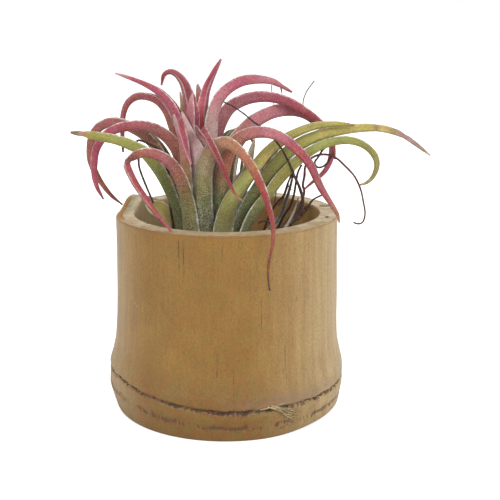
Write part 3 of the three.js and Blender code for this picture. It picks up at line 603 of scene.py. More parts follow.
def buildCup():
    columns, inner, top = cup["columns"], cup["radius"] - cup["wall"], cup["height"]
    azimuth = np.arange(columns) * 360 / columns - 180
    ring = np.stack([np.cos(np.radians(azimuth)), np.sin(np.radians(azimuth))], 1)
    loose = noiseRound(ring, (1, 2, 3), cup["slowBumps"])
    jags = noiseRound(ring, (4, 5, 6), cup["raggedBumps"])
    wear = sum(fadeRound(azimuth, *edge) for edge in cup["wornRim"])
    lip, footWear = fadeRound(azimuth, *cup["lip"]), fadeRound(azimuth, *cup["wornFoot"])
    rows, finishes = [], []

    # A ring of points and the material of the band that leads to it
    def addRow(finish, radius, height, **marks):
        finishes.append(finish)
        values = (radius, height, *{**cupMarks, **marks}.values())
        rows.append([np.broadcast_to(value, (columns,)) for value in values])

    # the foot, from the middle of the base out to its worn edge, then up the skin
    for radius in cup["footRings"]:
        addRow(onSawn, radius, 0, outward=radius / 45)
    addRow(onSawn, 40.6 - 1.4 * footWear, 0)
    addRow(onSkin, 41.4 - 0.8 * footWear, 0.25 + 0.5 * footWear)
    for height in [*np.arange(0.9, 18, 0.36), *np.arange(18.4, 70.0, 1.6), 70.4]:
        radius, marks = skinRow(height, azimuth, loose, jags)
        addRow(onSkin, radius, height, **marks)

    # the sawn rim, bevelled where it is worn and standing up in its lip
    for drop, edgeShown in ((0.8, 0.0), (0.62, 0.8), (0.48, 1.0), (cup["sawnEdge"], 0.15)):
        addRow(onSkin, cup["radius"] + 0.12 * loose[0], top - drop - 0.9 * wear + 0.8 * lip,
               rimEdge=edgeShown * np.clip(0.8 + jags[1], 0.3, 1))
    golden = smoothStep(0.15, 0.5, fadeRound(azimuth, *cup["wornThrough"]))
    addRow(onSkin, cup["radius"] - 0.1 - 0.5 * wear, top - 0.1 - 0.5 * wear + lip, golden=golden,
           rimEdge=0.3)
    edge, innerEdge = cup["radius"] - cup["sawnEdge"] - wear, inner + cup["sawnEdge"]
    for share in cup["rimShares"]:
        sawMarks = 0.05 * jags[0] * (1 + 0.5 * math.sin(9 * share))
        green = smoothStep(0.2, 0.36, share) * (1 - smoothStep(0.5, 0.75, share))
        addRow(onSawn if share else onSkin, edge + (innerEdge - edge) * share, top + lip + sawMarks,
               grime=0.85 * golden * bell(share - 0.24 - 0.1 * loose[0], 0.06), outward=1 - share,
               stain=fadeRound(azimuth, *cup["greenRim"]) * green,
               golden=golden * (1 - smoothStep(0.2, 0.34, share)))

    # the inside, down to the node's own floor
    addRow(onSawn, inner + 0.05, top - 0.25 + lip, outward=0)
    for height in np.linspace(top - 1.2, cup["floor"] + cup["fillet"], 26):
        addRow(onInside, inner + 0.1 * loose[2], height + lip * smoothStep(top - 8, top, height))
    for share in (0.25, 0.5, 0.75, 1.0):
        bend = share * math.pi / 2
        addRow(onInside, inner - cup["fillet"] * (1 - math.cos(bend)),
               cup["floor"] + cup["fillet"] * (1 - math.sin(bend)))
    for radius in cup["floorRings"]:
        addRow(onInside, radius, cup["floor"] + 0.25 * loose[1] * (radius / cup["floorRings"][0]))

    table = np.array(rows, float)  # rows, values, columns
    radius, height, lean = table[:, 0, :], table[:, 1, :], cup["lean"]
    shift = (lean["foot"] + (lean["node"] - lean["foot"]) * smoothStep(0, 9, height)
             + (lean["rim"] - lean["node"]) * smoothStep(16, 45, height))
    points = np.stack([radius * ring[:, 0] - shift, radius * ring[:, 1], height], -1).reshape(-1, 3)
    bottom, middle, last = len(points), len(points) + 1, len(points) - columns
    points = np.vstack([points, [(-lean["foot"], 0, 0), (-lean["node"], 0, cup["floor"])]]) * mm
    faces, bands = [], []
    for start, finish in zip(range(0, last, columns), finishes[1:]):
        for c in range(columns):
            a, b = start + c, start + (c + 1) % columns
            faces.append((a, b, b + columns, a + columns))
        bands += [finish] * columns
    for c in range(columns):
        d = (c + 1) % columns
        faces += [(bottom, d, c), (middle, last + c, last + d)]
        bands += [onSawn, onInside]
    mesh = bpy.data.meshes.new("bambooCup")
    mesh.from_pydata(points.tolist(), [], faces)
    for column, key in enumerate(cupMarks, 2):
        layer = mesh.attributes.new(key, "FLOAT", "POINT")
        layer.data.foreach_set("value", np.append(table[:, column, :].reshape(-1), [0.0, 0.0]))
    for material in (makeBambooSkin(), makeSawnBamboo(), makeCulmInside()):
        mesh.materials.append(material)
    mesh.polygons.foreach_set("material_index", bands)
    mesh.shade_smooth()
    turnOutwards(mesh)
    placePiece("bambooCup", mesh, "bamboo", "bamboo_cup")


buildCup()
print("cup built")

rosette = {
    "crown": (-6, -3), "crownHeight": 42, "firstRank": 2.8, "rankSpacing": 1.2, "rankDrop": 1.7,
    "sheathHeight": 54, "sheathFlare": 0.5, "thickness": 0.75, "tipThickness": 0.5, "tipWidth": 0.3,
    "narrowFrom": 0.4, "narrowOver": 0.5, "taperPower": 0.65, "sinkShare": 0.04, "strandLift": 1.2,
    "swell": 0.1, "swellPerRank": 0.02, "swellAt": 36, "swellSpread": 15, "ripple": 0.25, "rippleLength": 7,
    "leastThick": 0.3, "thickShare": 0.3, "step": 0.8, "pointsAcross": 11, "strandPower": 0.7,
}


def sheathPoints(rank, side):
    radius = rosette["firstRank"] + rank * rosette["rankSpacing"]
    x, y = math.cos(math.radians(side)), math.sin(math.radians(side))
    (cx, cy), flare = rosette["crown"], rosette["sheathFlare"]
    low = (cx + radius * x, cy + radius * y, rosette["crownHeight"] - rank * rosette["rankDrop"])
    high = (cx + (radius + flare) * x, cy + (radius + flare) * y, rosette["sheathHeight"])
    return [low, high]


# An even run of points along a smooth curve through the given ones
def curveThrough(points, step):
    points = np.array(points, float)
    padded = np.vstack([2 * points[0] - points[1], points, 2 * points[-1] - points[-2]])
    fine = []
    u = np.linspace(0, 1, 40, endpoint=False)[:, None]
    for k in range(len(points) - 1):
        a, b, c, d = padded[k:k + 4]
        ab, bc, cd = [math.sqrt(max(np.linalg.norm(q - p), 1e-6)) for p, q in ((a, b), (b, c), (c, d))]
        start = ((b - a) / ab - (c - a) / (ab + bc) + (c - b) / bc) * bc
        end = ((c - b) / bc - (d - b) / (bc + cd) + (d - c) / cd) * bc
        cubic = (2 * b - 2 * c + start + end) * u ** 3 + (3 * c - 3 * b - 2 * start - end) * u ** 2
        fine.append(cubic + start * u + b)
    fine = np.vstack(fine + [points[-1:]])
    measure = np.concatenate([[0], np.cumsum(np.linalg.norm(np.diff(fine, axis=0), axis=1))])
    even = np.linspace(0, measure[-1], max(12, int(measure[-1] / step)) + 1)
    return np.stack([np.interp(even, measure, fine[:, i]) for i in range(3)], 1), measure[-1]


# Carries a facing direction along a run of points without spin
def carryFaces(run, facing):
    along = np.gradient(run, axis=0)
    along /= np.linalg.norm(along, axis=1)[:, None]
    faces = np.zeros_like(run)
    face = np.array(facing, float)
    for i, direction in enumerate(along):
        face = face - np.dot(face, direction) * direction
        face /= np.linalg.norm(face)
        faces[i] = face
    return along, faces


def makeRail(name, points, edges=None, **layers):
    mesh = bpy.data.meshes.new(name)
    edges = edges or [(i, i + 1) for i in range(len(points) - 1)]
    mesh.from_pydata((np.asarray(points) * mm).tolist(), edges, [])
    kinds = {1: ("FLOAT", "value"), 3: ("FLOAT_VECTOR", "vector"), 4: ("FLOAT_COLOR", "color")}
    for key, values in layers.items():
        values = np.asarray(values, float)
        kind, field = kinds[1 if values.ndim == 1 else values.shape[1]]
        mesh.attributes.new(key, kind, "POINT").data.foreach_set(field, values.reshape(-1))
    return mesh


# Starts a node tree that draws along a rail; a whole number is a count, None a material
def startTree(name, inputs):
    tree = bpy.data.node_groups.new(name, "GeometryNodeTree")
    desk["tree"] = tree
    tree.interface.new_socket("Geometry", in_out="INPUT", socket_type="NodeSocketGeometry")
    kinds = {int: "NodeSocketInt", float: "NodeSocketFloat", type(None): "NodeSocketMaterial"}
    for label, value in inputs.items():
        socket = tree.interface.new_socket(label, in_out="INPUT", socket_type=kinds[type(value)])
        if value is not None:
            socket.default_value = value
    tree.interface.new_socket("Geometry", in_out="OUTPUT", socket_type="NodeSocketGeometry")
    enter = tree.nodes.new("NodeGroupInput")
    return tree, [Wire(enter.outputs[label]) for label in ("Geometry", *inputs)]


def readField(name, kind="FLOAT"):
    return addNode("GeometryNodeInputNamedAttribute", {"Name": name}, "Attribute", data_type=kind)


def storeField(geometry, name, value, kind="FLOAT"):
    inputs = {"Geometry": geometry, "Name": name, "Value": value}
    return addNode("GeometryNodeStoreNamedAttribute", inputs, data_type=kind, domain="POINT")


# Sweeps a closed outline of this many points, drawn later by its fields, along the rail
def sweepAlong(rail, steps, count, **fields):
    curve = addNode("GeometryNodeMeshToCurve", {0: rail})
    curve = addNode("GeometryNodeResampleCurve", {"Curve": curve, "Count": steps}, mode="COUNT")
    curve = storeField(curve, "railPoint", addNode("GeometryNodeInputPosition"), "FLOAT_VECTOR")
    line = addNode("GeometryNodeMeshLine", {"Count": count, "Offset": (mm, 0, 0)})
    for name, value in fields.items():
        line = storeField(line, name, value)
    outline = addNode("GeometryNodeMeshToCurve", {0: line})
    outline = addNode("GeometryNodeSetSplineCyclic", {"Geometry": outline, "Cyclic": True})
    return addNode("GeometryNodeCurveToMesh", {"Curve": curve, "Profile Curve": outline, "Fill Caps": True})


def moveOnRail(geometry, aside, raised):
    place = readField("railPoint", "FLOAT_VECTOR")
    for name, distance in (("railSide", aside), ("railFace", raised)):
        place = vectorCalc("ADD", place, vectorCalc("SCALE", readField(name, "FLOAT_VECTOR"), distance))
    return addNode("GeometryNodeSetPosition", {"Geometry": geometry, "Position": place})


def finishTree(geometry, finish):
    geometry = addNode("GeometryNodeSetShadeSmooth", {"Geometry": geometry, "Shade Smooth": True})
    geometry = addNode("GeometryNodeRealizeInstances", {"Geometry": geometry})
    geometry = addNode("GeometryNodeSetMaterial", {"Geometry": geometry, "Material": finish})
    feed(desk["tree"].nodes.new("NodeGroupOutput").inputs[0], geometry)


def makeLeafTree():
    tree, sockets = startTree("channelledLeaf", {
        "Steps": 90, "Points Across": 11, "Groove Rounding": 0.35, "Margin Share": 0.4, "Ripple": 0.0001,
        "Ripple Length": 0.006, "Seed": 0.0, "Finish": None})
    rail, steps, points, soft, marginShare, ripple, rippleLength, seed, finish = sockets
    # the outline goes across the inner face and back across the outer one
    index = addNode("GeometryNodeInputIndex")
    under = calc("GREATER_THAN", index, points - 0.5)
    there = (index - under * points) * (2.0 / (points - 1.0)) - 1.0
    skin = sweepAlong(rail, steps, points * 2.0, across=there * (1.0 - under * 2.0), underside=under)

    across, under, travel = readField("across"), readField("underside"), readField("railTravel")
    halfWidth, steep = readField("railWidth") * 0.5, calc("TANGENT", readField("railFold"))
    square, softSquare = across * across, soft * soft
    root = calc("SQRT", square + softSquare)
    span = calc("SQRT", softSquare + 1.0) - soft
    slope = steep * (across / root) / span
    slant = calc("SQRT", slope * slope + 1.0)
    body = 1.0 - calc("POWER", calc("ABSOLUTE", across), 3.0)
    wall = readField("railThick") * ramp(body, 0.0, 1.0, marginShare, 1.0) * under
    aside = halfWidth * across + wall * slope / slant
    raised = halfWidth * steep * ((root - soft) / span) - wall / slant
    # margins wander a little, each on its own
    margin = calc("SIGN", across)
    wander = cloudy(combine(travel / rippleLength, margin), 1.0, 2.0, seed=seed)
    opened = (wander - 0.5) * (square * 2.0) * ripple * readField("railOpen")
    skin = moveOnRail(skin, aside + opened * margin, raised + opened)
    place = combine(halfWidth * across * slant * (1 / mm), travel * (1 / mm) + seed * 37.0, under * 5.0)
    skin = storeField(skin, "leafPlace", place, "FLOAT_VECTOR")
    gap = (1.0 - calc("ABSOLUTE", across)) * halfWidth * slant * (1 / mm)
    finishTree(storeField(skin, "edgeGap", gap), finish)
    return tree


def makeStalkTree():
    tree, sockets = startTree("driedStalk", {
        "Steps": 90, "Sides": 8, "Wrinkle": 0.25, "Wrinkle Length": 0.003, "Seed": 0.0, "Finish": None})
    rail, steps, sides, wrinkle, wrinkleLength, seed, finish = sockets
    skin = sweepAlong(rail, steps, sides, turn=addNode("GeometryNodeInputIndex") / sides * (2 * math.pi))
    turn, travel = readField("turn"), readField("railTravel")
    cosine, sine = calc("COSINE", turn), calc("SINE", turn)
    wander = cloudy(combine(travel / wrinkleLength, cosine, sine), 0.9, 2.0, seed=seed)
    radius = readField("railRadius") * (1.0 + (wander - 0.5) * (wrinkle * 2.0))
    skin = moveOnRail(skin, radius * cosine, radius * sine)
    place = combine(cosine * 0.8, travel * (1 / mm), sine * 0.8 + seed)
    finishTree(storeField(skin, "leafPlace", place, "FLOAT_VECTOR"), finish)
    return tree


leafTree = makeLeafTree()
stalkTree = makeStalkTree()


# Runs a node tree on a rail and keeps the result as a plain mesh
def drawAlong(name, rail, tree, values):
    holder = addToScene(name + "Rail", rail)
    modifier = holder.modifiers.new("draw", "NODES")
    modifier.node_group = tree
    for item in tree.interface.items_tree:
        if item.item_type == "SOCKET" and item.in_out == "INPUT" and item.name in values:
            modifier[item.identifier] = values[item.name]
    graph = bpy.context.evaluated_depsgraph_get()
    mesh = bpy.data.meshes.new_from_object(holder.evaluated_get(graph), depsgraph=graph)
    holder.modifiers.remove(modifier)
    bpy.data.objects.remove(holder)
    mesh.name = name
    turnOutwards(mesh)
    return mesh


# Colours along a leaf: the first one holds to 0.3 of its length, the others stand at the shares before them
def colourRun(text, t):
    words = text.split()
    where = [0.3] + [float(w) for w in words[1::2]]
    table = np.array([tint(w) for w in words[0::2]])
    return np.stack([np.interp(t, where, table[:, i]) for i in range(4)], 1)


usualLeaf = {
    "narrow": 0.3, "tip": 0.3, "opens": (0, 42), "roll": 0, "twist": (0, 1, 0), "bulge": (0, 0.5, 1),
    "nicks": (), "scurf": [(0, 0.7), (0.3, 0.62), (0.42, 0.4), (0.6, 0.22), (1, 0.14)],
}


def buildLeaf(name, seed, leaf, material, slotName="living_leaves"):
    leaf = {**usualLeaf, **leaf}
    rank, side, sheath, blade = leaf["rank"], math.radians(leaf["side"]), leaf["sheath"], leaf["blade"]
    points = sheathPoints(rank, leaf["side"]) + leaf["route"]
    run, length = curveThrough(points, rosette["step"])
    t = np.linspace(0, 1, len(run))
    along, faces = carryFaces(run, (-math.cos(side), -math.sin(side), 0))

    # a closed sheath on the stem that opens out into the blade
    sheathLength = rosette["sheathHeight"] - points[0][2]
    opened = smoothStep(*[sheathLength + reach for reach in leaf["opens"]], t * length)
    narrowed = 1 - leaf["narrow"] * np.clip((t - rosette["narrowFrom"]) / rosette["narrowOver"], 0, 1)
    taper = np.minimum(1, ((1 - t) / leaf["tip"]) ** rosette["taperPower"])
    swell = rosette["swell"] + rosette["swellPerRank"] * rank
    swell = 1 + swell * bell(t * length - rosette["swellAt"], rosette["swellSpread"])
    width = (sheath + (blade - sheath) * opened) * narrowed * taper * swell
    bulge, bulgeAt, bulgeSpread = leaf["bulge"]
    width = width * (1 + bulge * bell(t - bulgeAt, bulgeSpread))
    for place, depth, reach in leaf["nicks"]:
        width = width * (1 - depth * bell((t - place) * length, reach))
    width = np.maximum(rosette["tipWidth"], width)

    baseFold = math.atan(sheath / 4 / (rosette["firstRank"] + rank * rosette["rankSpacing"]))
    fold = baseFold + (math.radians(leaf["fold"]) - baseFold) * opened
    thick = rosette["thickness"] + (rosette["tipThickness"] - rosette["thickness"]) * t
    thick = np.minimum(thick, rosette["leastThick"] + width * rosette["thickShare"])
    start, end, turned = leaf["twist"]
    roll = np.radians(leaf["roll"]) * opened + math.radians(turned) * smoothStep(start, end, t)
    normal = faces * np.cos(roll)[:, None] + np.cross(along, faces) * np.sin(roll)[:, None]
    sink = (width / 2 * np.tan(fold) / 2 + width * rosette["sinkShare"]) * opened
    rail = makeRail(name, run - normal * sink[:, None], railSide=np.cross(along, normal), railFace=normal,
                    railWidth=width * mm, railFold=fold, railThick=thick * mm, railTravel=t * length * mm,
                    railOpen=opened, outerTint=colourRun(leaf["outer"], t),
                    innerTint=colourRun(leaf["inner"], t), scurf=valueRun(leaf["scurf"], t))
    mesh = drawAlong(name, rail, leafTree, {
        "Steps": len(run), "Points Across": rosette["pointsAcross"], "Seed": float(seed),
        "Ripple": rosette["ripple"] * mm, "Ripple Length": rosette["rippleLength"] * mm,
        "Finish": material})
    placePiece(name, mesh, slotName, nodeNamed(name))


def buildStalk(name, seed, stalk, material, slotName, *nodes):
    points = list(stalk["route"])
    if "rank" in stalk:
        x, y, z = sheathPoints(stalk["rank"], stalk["side"])[0]
        points = [(x, y, z + rosette["strandLift"])] + points
    run, length = curveThrough(points, stalk.get("step", 0.5))
    t = np.linspace(0, 1, len(run))
    along, faces = carryFaces(run, (0, -1, 0.02))
    rail = makeRail(name, run, railSide=np.cross(along, faces), railFace=faces,
                    railRadius=valueRun(stalk["radius"], t) * mm, railTravel=t * length * mm,
                    scurf=valueRun(stalk.get("scurf", [(0, 0)]), t))
    mesh = drawAlong(name, rail, stalkTree, {
        "Steps": len(run), "Sides": stalk.get("sides", 8), "Seed": float(seed),
        "Wrinkle": stalk.get("wrinkle", 0.25), "Finish": material})
    placePiece(name, mesh, slotName, *nodes)


lightScurf = [(0, 0.6), (0.3, 0.42), (0.45, 0.24), (1, 0.12)]
dryScurf = [(0, 0.9), (0.6, 0.8), (1, 0.4)]

# Each leaf's rank and side place its sheath on the stem; outer and inner are its colours from base to tip.
# Some stops are painted light, lighter than the leaf where it lies in shade
leaves = {
    "spikeLeaf": dict(
        rank=0, side=80, sheath=3.6, blade=8, fold=55, narrow=0.2, tip=0.5, roll=-38,
        scurf=[(0, 0.7), (0.4, 0.5), (0.6, 0.15), (1, 0.1)], opens=(28, 50),
        # the outer pinkGlow stops are painted light on the wall in the top arch's shadow; the inner glowRed
        # stops paint light glowing through the leaf
        outer="greyGreen .45 silverPink .58 pinkGlow .74 pinkGlow .84 magenta 1 dustyPink",
        inner="darkRed .5 deepRed .6 glowRed .7 glowRed .8 pinkGlow .9 magenta 1 dustyPink",
        route=[(-7.9, 0, 86), (-8.9, -0.2, 105.2), (-8.5, 0, 110.1), (-7.5, 1, 114.9), (-5.8, 2, 119),
               (-2.4, 3, 125.6)]),
    "bluntPinkLeaf": dict(
        rank=0, side=219, sheath=3.4, blade=5.2, fold=55, narrow=0, tip=0.1, roll=-57, opens=(28, 50),
        outer="greyGreen .5 mauve .68 magenta .84 dustyPink .94 dustyPink 1 rosePale",
        inner="darkGreen .6 crimson .85 magenta 1 dustyPink",
        route=[(-9.8, -4.7, 84), (-12.2, -5.1, 102.3), (-12.1, -5.5, 107.9), (-12, -5.4, 112),
               (-11.8, -5.4, 114.3)]),
    "shortBackLeaf": dict(
        rank=1, side=60, sheath=2.4, blade=6.4, fold=30, tip=0.2, narrow=0, opens=(34, 54),
        outer="silverGreen .6 mauve .8 magenta 1 rosePale",
        inner="greyGreen .7 brick .9 dustyPink 1 paleTip",
        route=[(-6, 3.4, 84), (-9.3, 5.6, 106.7), (-9.9, 6.4, 111.6), (-10.9, 6.4, 116.6)]),
    "paleBackLeaf": dict(
        rank=2, side=118, sheath=3.4, blade=4.8, fold=25, tip=0.4, narrow=0, opens=(20, 50),
        outer="silverGreen .7 paleGreen 1 paleTip",
        inner="leafGreen .7 oliveYellow .9 paleGreen 1 paleTip",
        route=[(-9.2, 5.9, 80), (-15.9, 8.4, 102), (-16.4, 9.4, 108.4), (-17.1, 10.4, 113.4)]),
    "topLeftHookLeaf": dict(
        rank=1, side=105, sheath=3.4, blade=11, fold=56, narrow=0.8, tip=0.12, roll=34,
        scurf=[(0, 0.7), (0.35, 0.5), (0.55, 0.12), (1, 0.1)], opens=(36, 56),
        # the outer hotPink stops are painted light on the near wall, which lies in shade
        outer="greyGreen .5 magenta .6 hotPink .72 hotPink .82 dustyPink .9 mauve 1 crimson",
        inner="darkRed .5 mauve .6 dustyPink .8 dustyPink .93 mauve 1 crimson",
        route=[(-11, 3, 86), (-13.4, 4.2, 106.4), (-14.2, 3.8, 112.3), (-16, 3.6, 117.8),
               (-18.6, 4.2, 120.6), (-20.9, 5, 121.1), (-22.7, 5, 119.9), (-23.7, 5, 116.3)]),
    "longLeftLeaf": dict(
        rank=2, side=172, sheath=4.2, blade=5.8, fold=60, narrow=0.6, tip=0.25,
        outer="greyGreen .45 brick .6 mauve .75 magenta .93 magenta 1 rosePale",
        inner="darkGreen .5 darkRed .7 crimson .9 magenta 1 rosePale",
        route=[(-12.8, -2, 86), (-16.6, -0.6, 103.1), (-18.2, -1, 107.8), (-20.9, 0.8, 111.6),
               (-24.3, 2.2, 114.5), (-28.9, 4, 116.9), (-34.7, 6, 119), (-39.9, 8, 120.4)]),
    "leftHookLeaf": dict(
        rank=3, side=157, sheath=4.8, blade=5.8, fold=58, narrow=0.75, tip=0.08,
        outer="russet .5 russet .6 brick .7 crimson .8 mauve .95 mauve 1 withered",
        inner="darkGreen .5 russet .7 orange .9 deepRed 1 withered",
        route=[(-13.4, 2.6, 80), (-19.8, 3.4, 103.4), (-22.1, 5, 108.2), (-25.4, 7, 111.2),
               (-29.1, 9, 112.3), (-32.7, 10.5, 112.1), (-35.9, 11.5, 110.1), (-37.8, 12, 106.8),
               (-38.7, 12, 101.7), (-38.8, 12, 91.3)]),
    "crimsonArchLeaf": dict(
        rank=4, side=196, sheath=5, blade=5.2, fold=60, narrow=0.6, tip=0.12,
        outer="oliveBrown .42 russet .55 brick .66 mauve .76 magenta .88 magenta .95 magenta 1 darkRed",
        inner="darkGreen .5 deepRed .7 crimson .9 deepRed 1 crimson",
        route=[(-14.2, -5.8, 76), (-16.8, -6.2, 93.3), (-19.4, -6, 97.8), (-23.1, -6.2, 101.2),
               (-28.1, -6.5, 103.3), (-33.9, -7, 103.6), (-39.4, -8, 102.5), (-43.5, -9, 99.7),
               (-46, -10, 95.4), (-46.7, -10.5, 90.6), (-46.6, -11, 85.7), (-45.7, -11, 82),
               (-43.6, -12, 78.3)]),
    "brownArchLeaf": dict(
        rank=5, side=172, sheath=5.4, blade=5.6, fold=58, narrow=0.7, tip=0.12,
        outer="oliveBrown .45 russet .58 russet .68 mauve .8 brick .93 brick 1 darkRed",
        inner="darkGreen .5 olive .65 oliveBrown .8 brick 1 darkRed",
        route=[(-18.5, -3, 79.1), (-20.7, -2.4, 86.3), (-22.8, -1.2, 91.8), (-25.8, 0.2, 96.1),
               (-29.9, 1.5, 99.7), (-34.9, 3, 102.2), (-40, 4.5, 103.7), (-45.3, 6, 102.2),
               (-48.8, 7, 98.3), (-50, 8, 93.1), (-49.9, 8.4, 88.2), (-48.3, 8.8, 83.4), (-45.1, 9.5, 77.8),
               (-42.2, 10, 74.2), (-39.3, 10, 71.8)]),
    "greenLeftLeaf": dict(
        rank=7, side=212, sheath=5, blade=5.4, fold=58, narrow=0.45, tip=0.09, nicks=[(0.955, 0.35, 0.8)],
        scurf=[(0, 0.5), (0.4, 0.22), (1, 0.12)],
        outer="darkGreen .45 darkGreen .6 leafGreen .75 limeGreen .94 oliveYellow .955 dustyPink .966 "
              "tan .978 driedGrey 1 oliveBrown",
        inner="darkGreen .5 darkGreen .7 leafGreen .92 oliveYellow .952 mauve .97 driedGrey 1 withered",
        route=[(-18, -10.8, 72.4), (-21.1, -11.6, 82.2), (-23.5, -12.8, 88.1), (-26.1, -13.6, 92.4),
               (-29.2, -14.6, 96), (-33.1, -16, 98.2), (-37.5, -17, 100.1), (-43, -18, 101.3),
               (-47.9, -19, 102.3), (-52.7, -19, 102.8)]),
    "nickedRedLeaf": dict(
        rank=7, side=240, sheath=5.2, blade=5.4, fold=50, narrow=0.6, tip=0.12, nicks=[(0.735, 0.45, 0.9)],
        outer="greyGreen .42 olive .48 oliveBrown .54 brick .62 mauve .7 brick .725 darkRed .745 "
              "darkRed .76 crimson .92 crimson 1 magenta",
        inner="darkGreen .5 brick .68 crimson .725 darkRed .75 darkRed .77 crimson .9 deepRed 1 crimson",
        route=[(-12.8, -14.2, 64), (-14.6, -15.6, 78), (-16.1, -17.5, 85), (-18.2, -19, 90.1),
               (-21.8, -21, 94.2), (-26, -23, 96.2), (-29.8, -25, 96.3), (-32.9, -27, 94.8),
               (-33.7, -27.8, 93.4), (-32.5, -28.8, 90.2), (-30.4, -30.5, 86.6), (-27.9, -32, 83.2),
               (-25.2, -33, 79.4), (-21.9, -34, 75.4), (-18.8, -34.5, 71.8)]),
    "lowLeftLeaf": dict(
        rank=6, side=176, sheath=5.6, blade=8.2, fold=15, bulge=(0.2, 0.85, 0.2), roll=-45, tip=0.1,
        narrow=0,
        outer="darkGreen .55 leafGreen .72 limeGreen .88 sunGreen 1 oliveYellow",
        inner="darkGreen .5 leafGreen .66 limeGreen .85 sunGreen 1 oliveYellow",
        route=[(-18.9, -3.4, 64.5), (-21.5, -3.2, 69.1), (-24.4, -2.8, 72.2), (-27.3, -1.6, 74.1),
               (-29.7, -0.4, 75.2)]),
    "frontLeftLeaf": dict(
        rank=5, side=226, sheath=4.2, blade=5, fold=40, twist=(0.66, 0.85, 42),
        outer="greyGreen .38 olive .46 tan .6 apricot .7 dustyPink .8 rosePale 1 rosePale",
        inner="darkGreen .5 darkRed .65 crimson .85 crimson .95 magenta 1 dustyPink",
        route=[(-14.4, -12.2, 80), (-15.4, -13, 98.5), (-16.9, -14, 105.1), (-17, -15.5, 107.5),
               (-16.4, -18, 107.2), (-15.3, -21.5, 103.7), (-13.8, -24, 98.3), (-12.1, -25, 92.8)]),
    "frontCrimsonLeaf": dict(
        rank=1, side=265, sheath=3.8, blade=4.6, fold=42, narrow=0.6, tip=0.2,
        outer="silverGreen .4 paleTip .58 rosePale .66 crimson .8 deepRed .93 deepRed .97 orange 1 tan",
        inner="darkRed .5 deepRed .7 crimson .93 deepRed 1 apricot",
        route=[(-7.4, -7.8, 86), (-7.9, -8.6, 96), (-9.6, -12.9, 103.6), (-8.3, -15.8, 102.4),
               (-6.2, -20.8, 99.8), (-4, -24.5, 96.2), (-1.7, -28, 91.9), (0.4, -30.5, 87.8),
               (2.2, -32, 84.2), (4.8, -32.5, 81.8)]),
    "silverFrontLeaf": dict(
        rank=4, side=249, sheath=5.2, blade=5.2, fold=28, bulge=(0.28, 0.68, 0.16), narrow=0.1, tip=0.2,
        scurf=[(0, 0.7), (0.35, 0.5), (0.6, 0.3), (0.8, 0.4), (1, 0.5)],
        # the tan and paleTip stops are painted light, lifting the leaf where it lies in shade
        outer="greyGreen .38 olive .48 tan .6 paleTip .72 rosePale .84 rosePale 1 rosePale",
        inner="darkGreen .5 oliveBrown .7 brick .85 crimson 1 dustyPink",
        route=[(-10, -11.2, 64), (-9.7, -12, 86.5), (-10.9, -11.8, 94.8), (-13.3, -9, 101),
               (-14.7, -7.4, 105), (-15.8, -6.6, 108.1)]),
    "orangeFrontLeaf": dict(
        rank=6, side=263, sheath=6.2, blade=6, fold=45, narrow=0.75, tip=0.25,
        scurf=[(0, 0.7), (0.3, 0.66), (0.46, 0.5), (0.6, 0.2), (0.8, 0.04), (1, 0)],
        outer="greyGreen .34 leafGreen .4 olive .46 tan .52 apricot .66 orange .72 redOrange .8 deepRed "
              ".87 brick .92 russet 1 withered",
        inner="darkGreen .5 brick .65 crimson .85 deepRed 1 withered",
        route=[(-8.6, -14.4, 67), (-9.1, -15.2, 80), (-7.9, -15.6, 90.9), (-5.1, -17, 96.4),
               (-0.6, -20, 98.7), (3.7, -24, 96.9), (7.4, -28, 92.9), (10.6, -32, 87.5),
               (12.9, -36.5, 81.8), (14.5, -40.5, 75.7), (14.4, -43.5, 69.8), (13.1, -44, 63.6),
               (12.9, -44, 59.6), (13.4, -43.5, 54.4)]),
    "topArchLeaf": dict(
        rank=0, side=335, sheath=3.6, blade=5.2, fold=60, narrow=0.5, tip=0.15,
        scurf=[(0, 0.7), (0.35, 0.6), (0.6, 0.5), (0.75, 0.25), (1, 0.2)], nicks=[(0.962, 0.35, 1.2)],
        outer="greyGreen .4 silverPink .5 rosePale .6 silverPink .7 dustyPink .8 magenta .9 dustyPink 1 "
              "mauve",
        inner="darkGreen .5 deepRed .7 crimson .9 magenta 1 mauve",
        route=[(-5.7, -5.3, 92), (-5.9, -5.5, 101), (-5, -4.6, 108), (-2.6, -4, 113), (0.5, -3.5, 116),
               (5.4, -2.5, 118.3), (10.4, -2, 118.8), (15.3, -1.5, 118.2), (19, -1, 116.5),
               (22.7, 0, 114.3)]),
    "secondArchLeaf": dict(
        rank=1, side=14, sheath=3.8, blade=5.4, fold=60, narrow=0.55, tip=0.1,
        scurf=[(0, 0.7), (0.35, 0.6), (0.5, 0.4), (0.7, 0.25), (1, 0.15)], roll=-22, opens=(10, 54),
        outer="greyGreen .36 silverPink .46 mauve .56 dustyPink .72 magenta .84 crimson .95 mauve 1 mauve",
        inner="darkGreen .5 crimson .6 magenta 1 mauve",
        route=[(-2.2, -0.6, 84), (-4.1, 0.4, 96.3), (-3.1, 0.7, 103), (0.3, 0.8, 108.8), (5.6, 1, 111.8),
               (11.1, 1, 112.9), (16.7, 1, 112.5), (22.4, 1, 110.6), (28.2, 1, 107.1), (32.7, 1, 103.5),
               (36, 1.4, 99.3), (37.9, 1.4, 94.8), (38.7, 1.4, 90.1)]),
    "thirdArchLeaf": dict(
        rank=2, side=344, sheath=4.4, blade=6, fold=60, narrow=0.75, tip=0.1,
        # the dustyPink stops are painted light, lifting the leaf in the second arch's shadow
        outer="greyGreen .4 oliveBrown .46 orange .54 dustyPink .64 dustyPink .74 magenta .9 magenta 1 "
              "mauve",
        inner="darkGreen .5 brick .7 crimson 1 mauve",
        route=[(0.2, -5.4, 80), (1.1, -4.8, 94.4), (4.4, -3.4, 99.5), (9.3, -1, 104), (15.1, 2, 106.6),
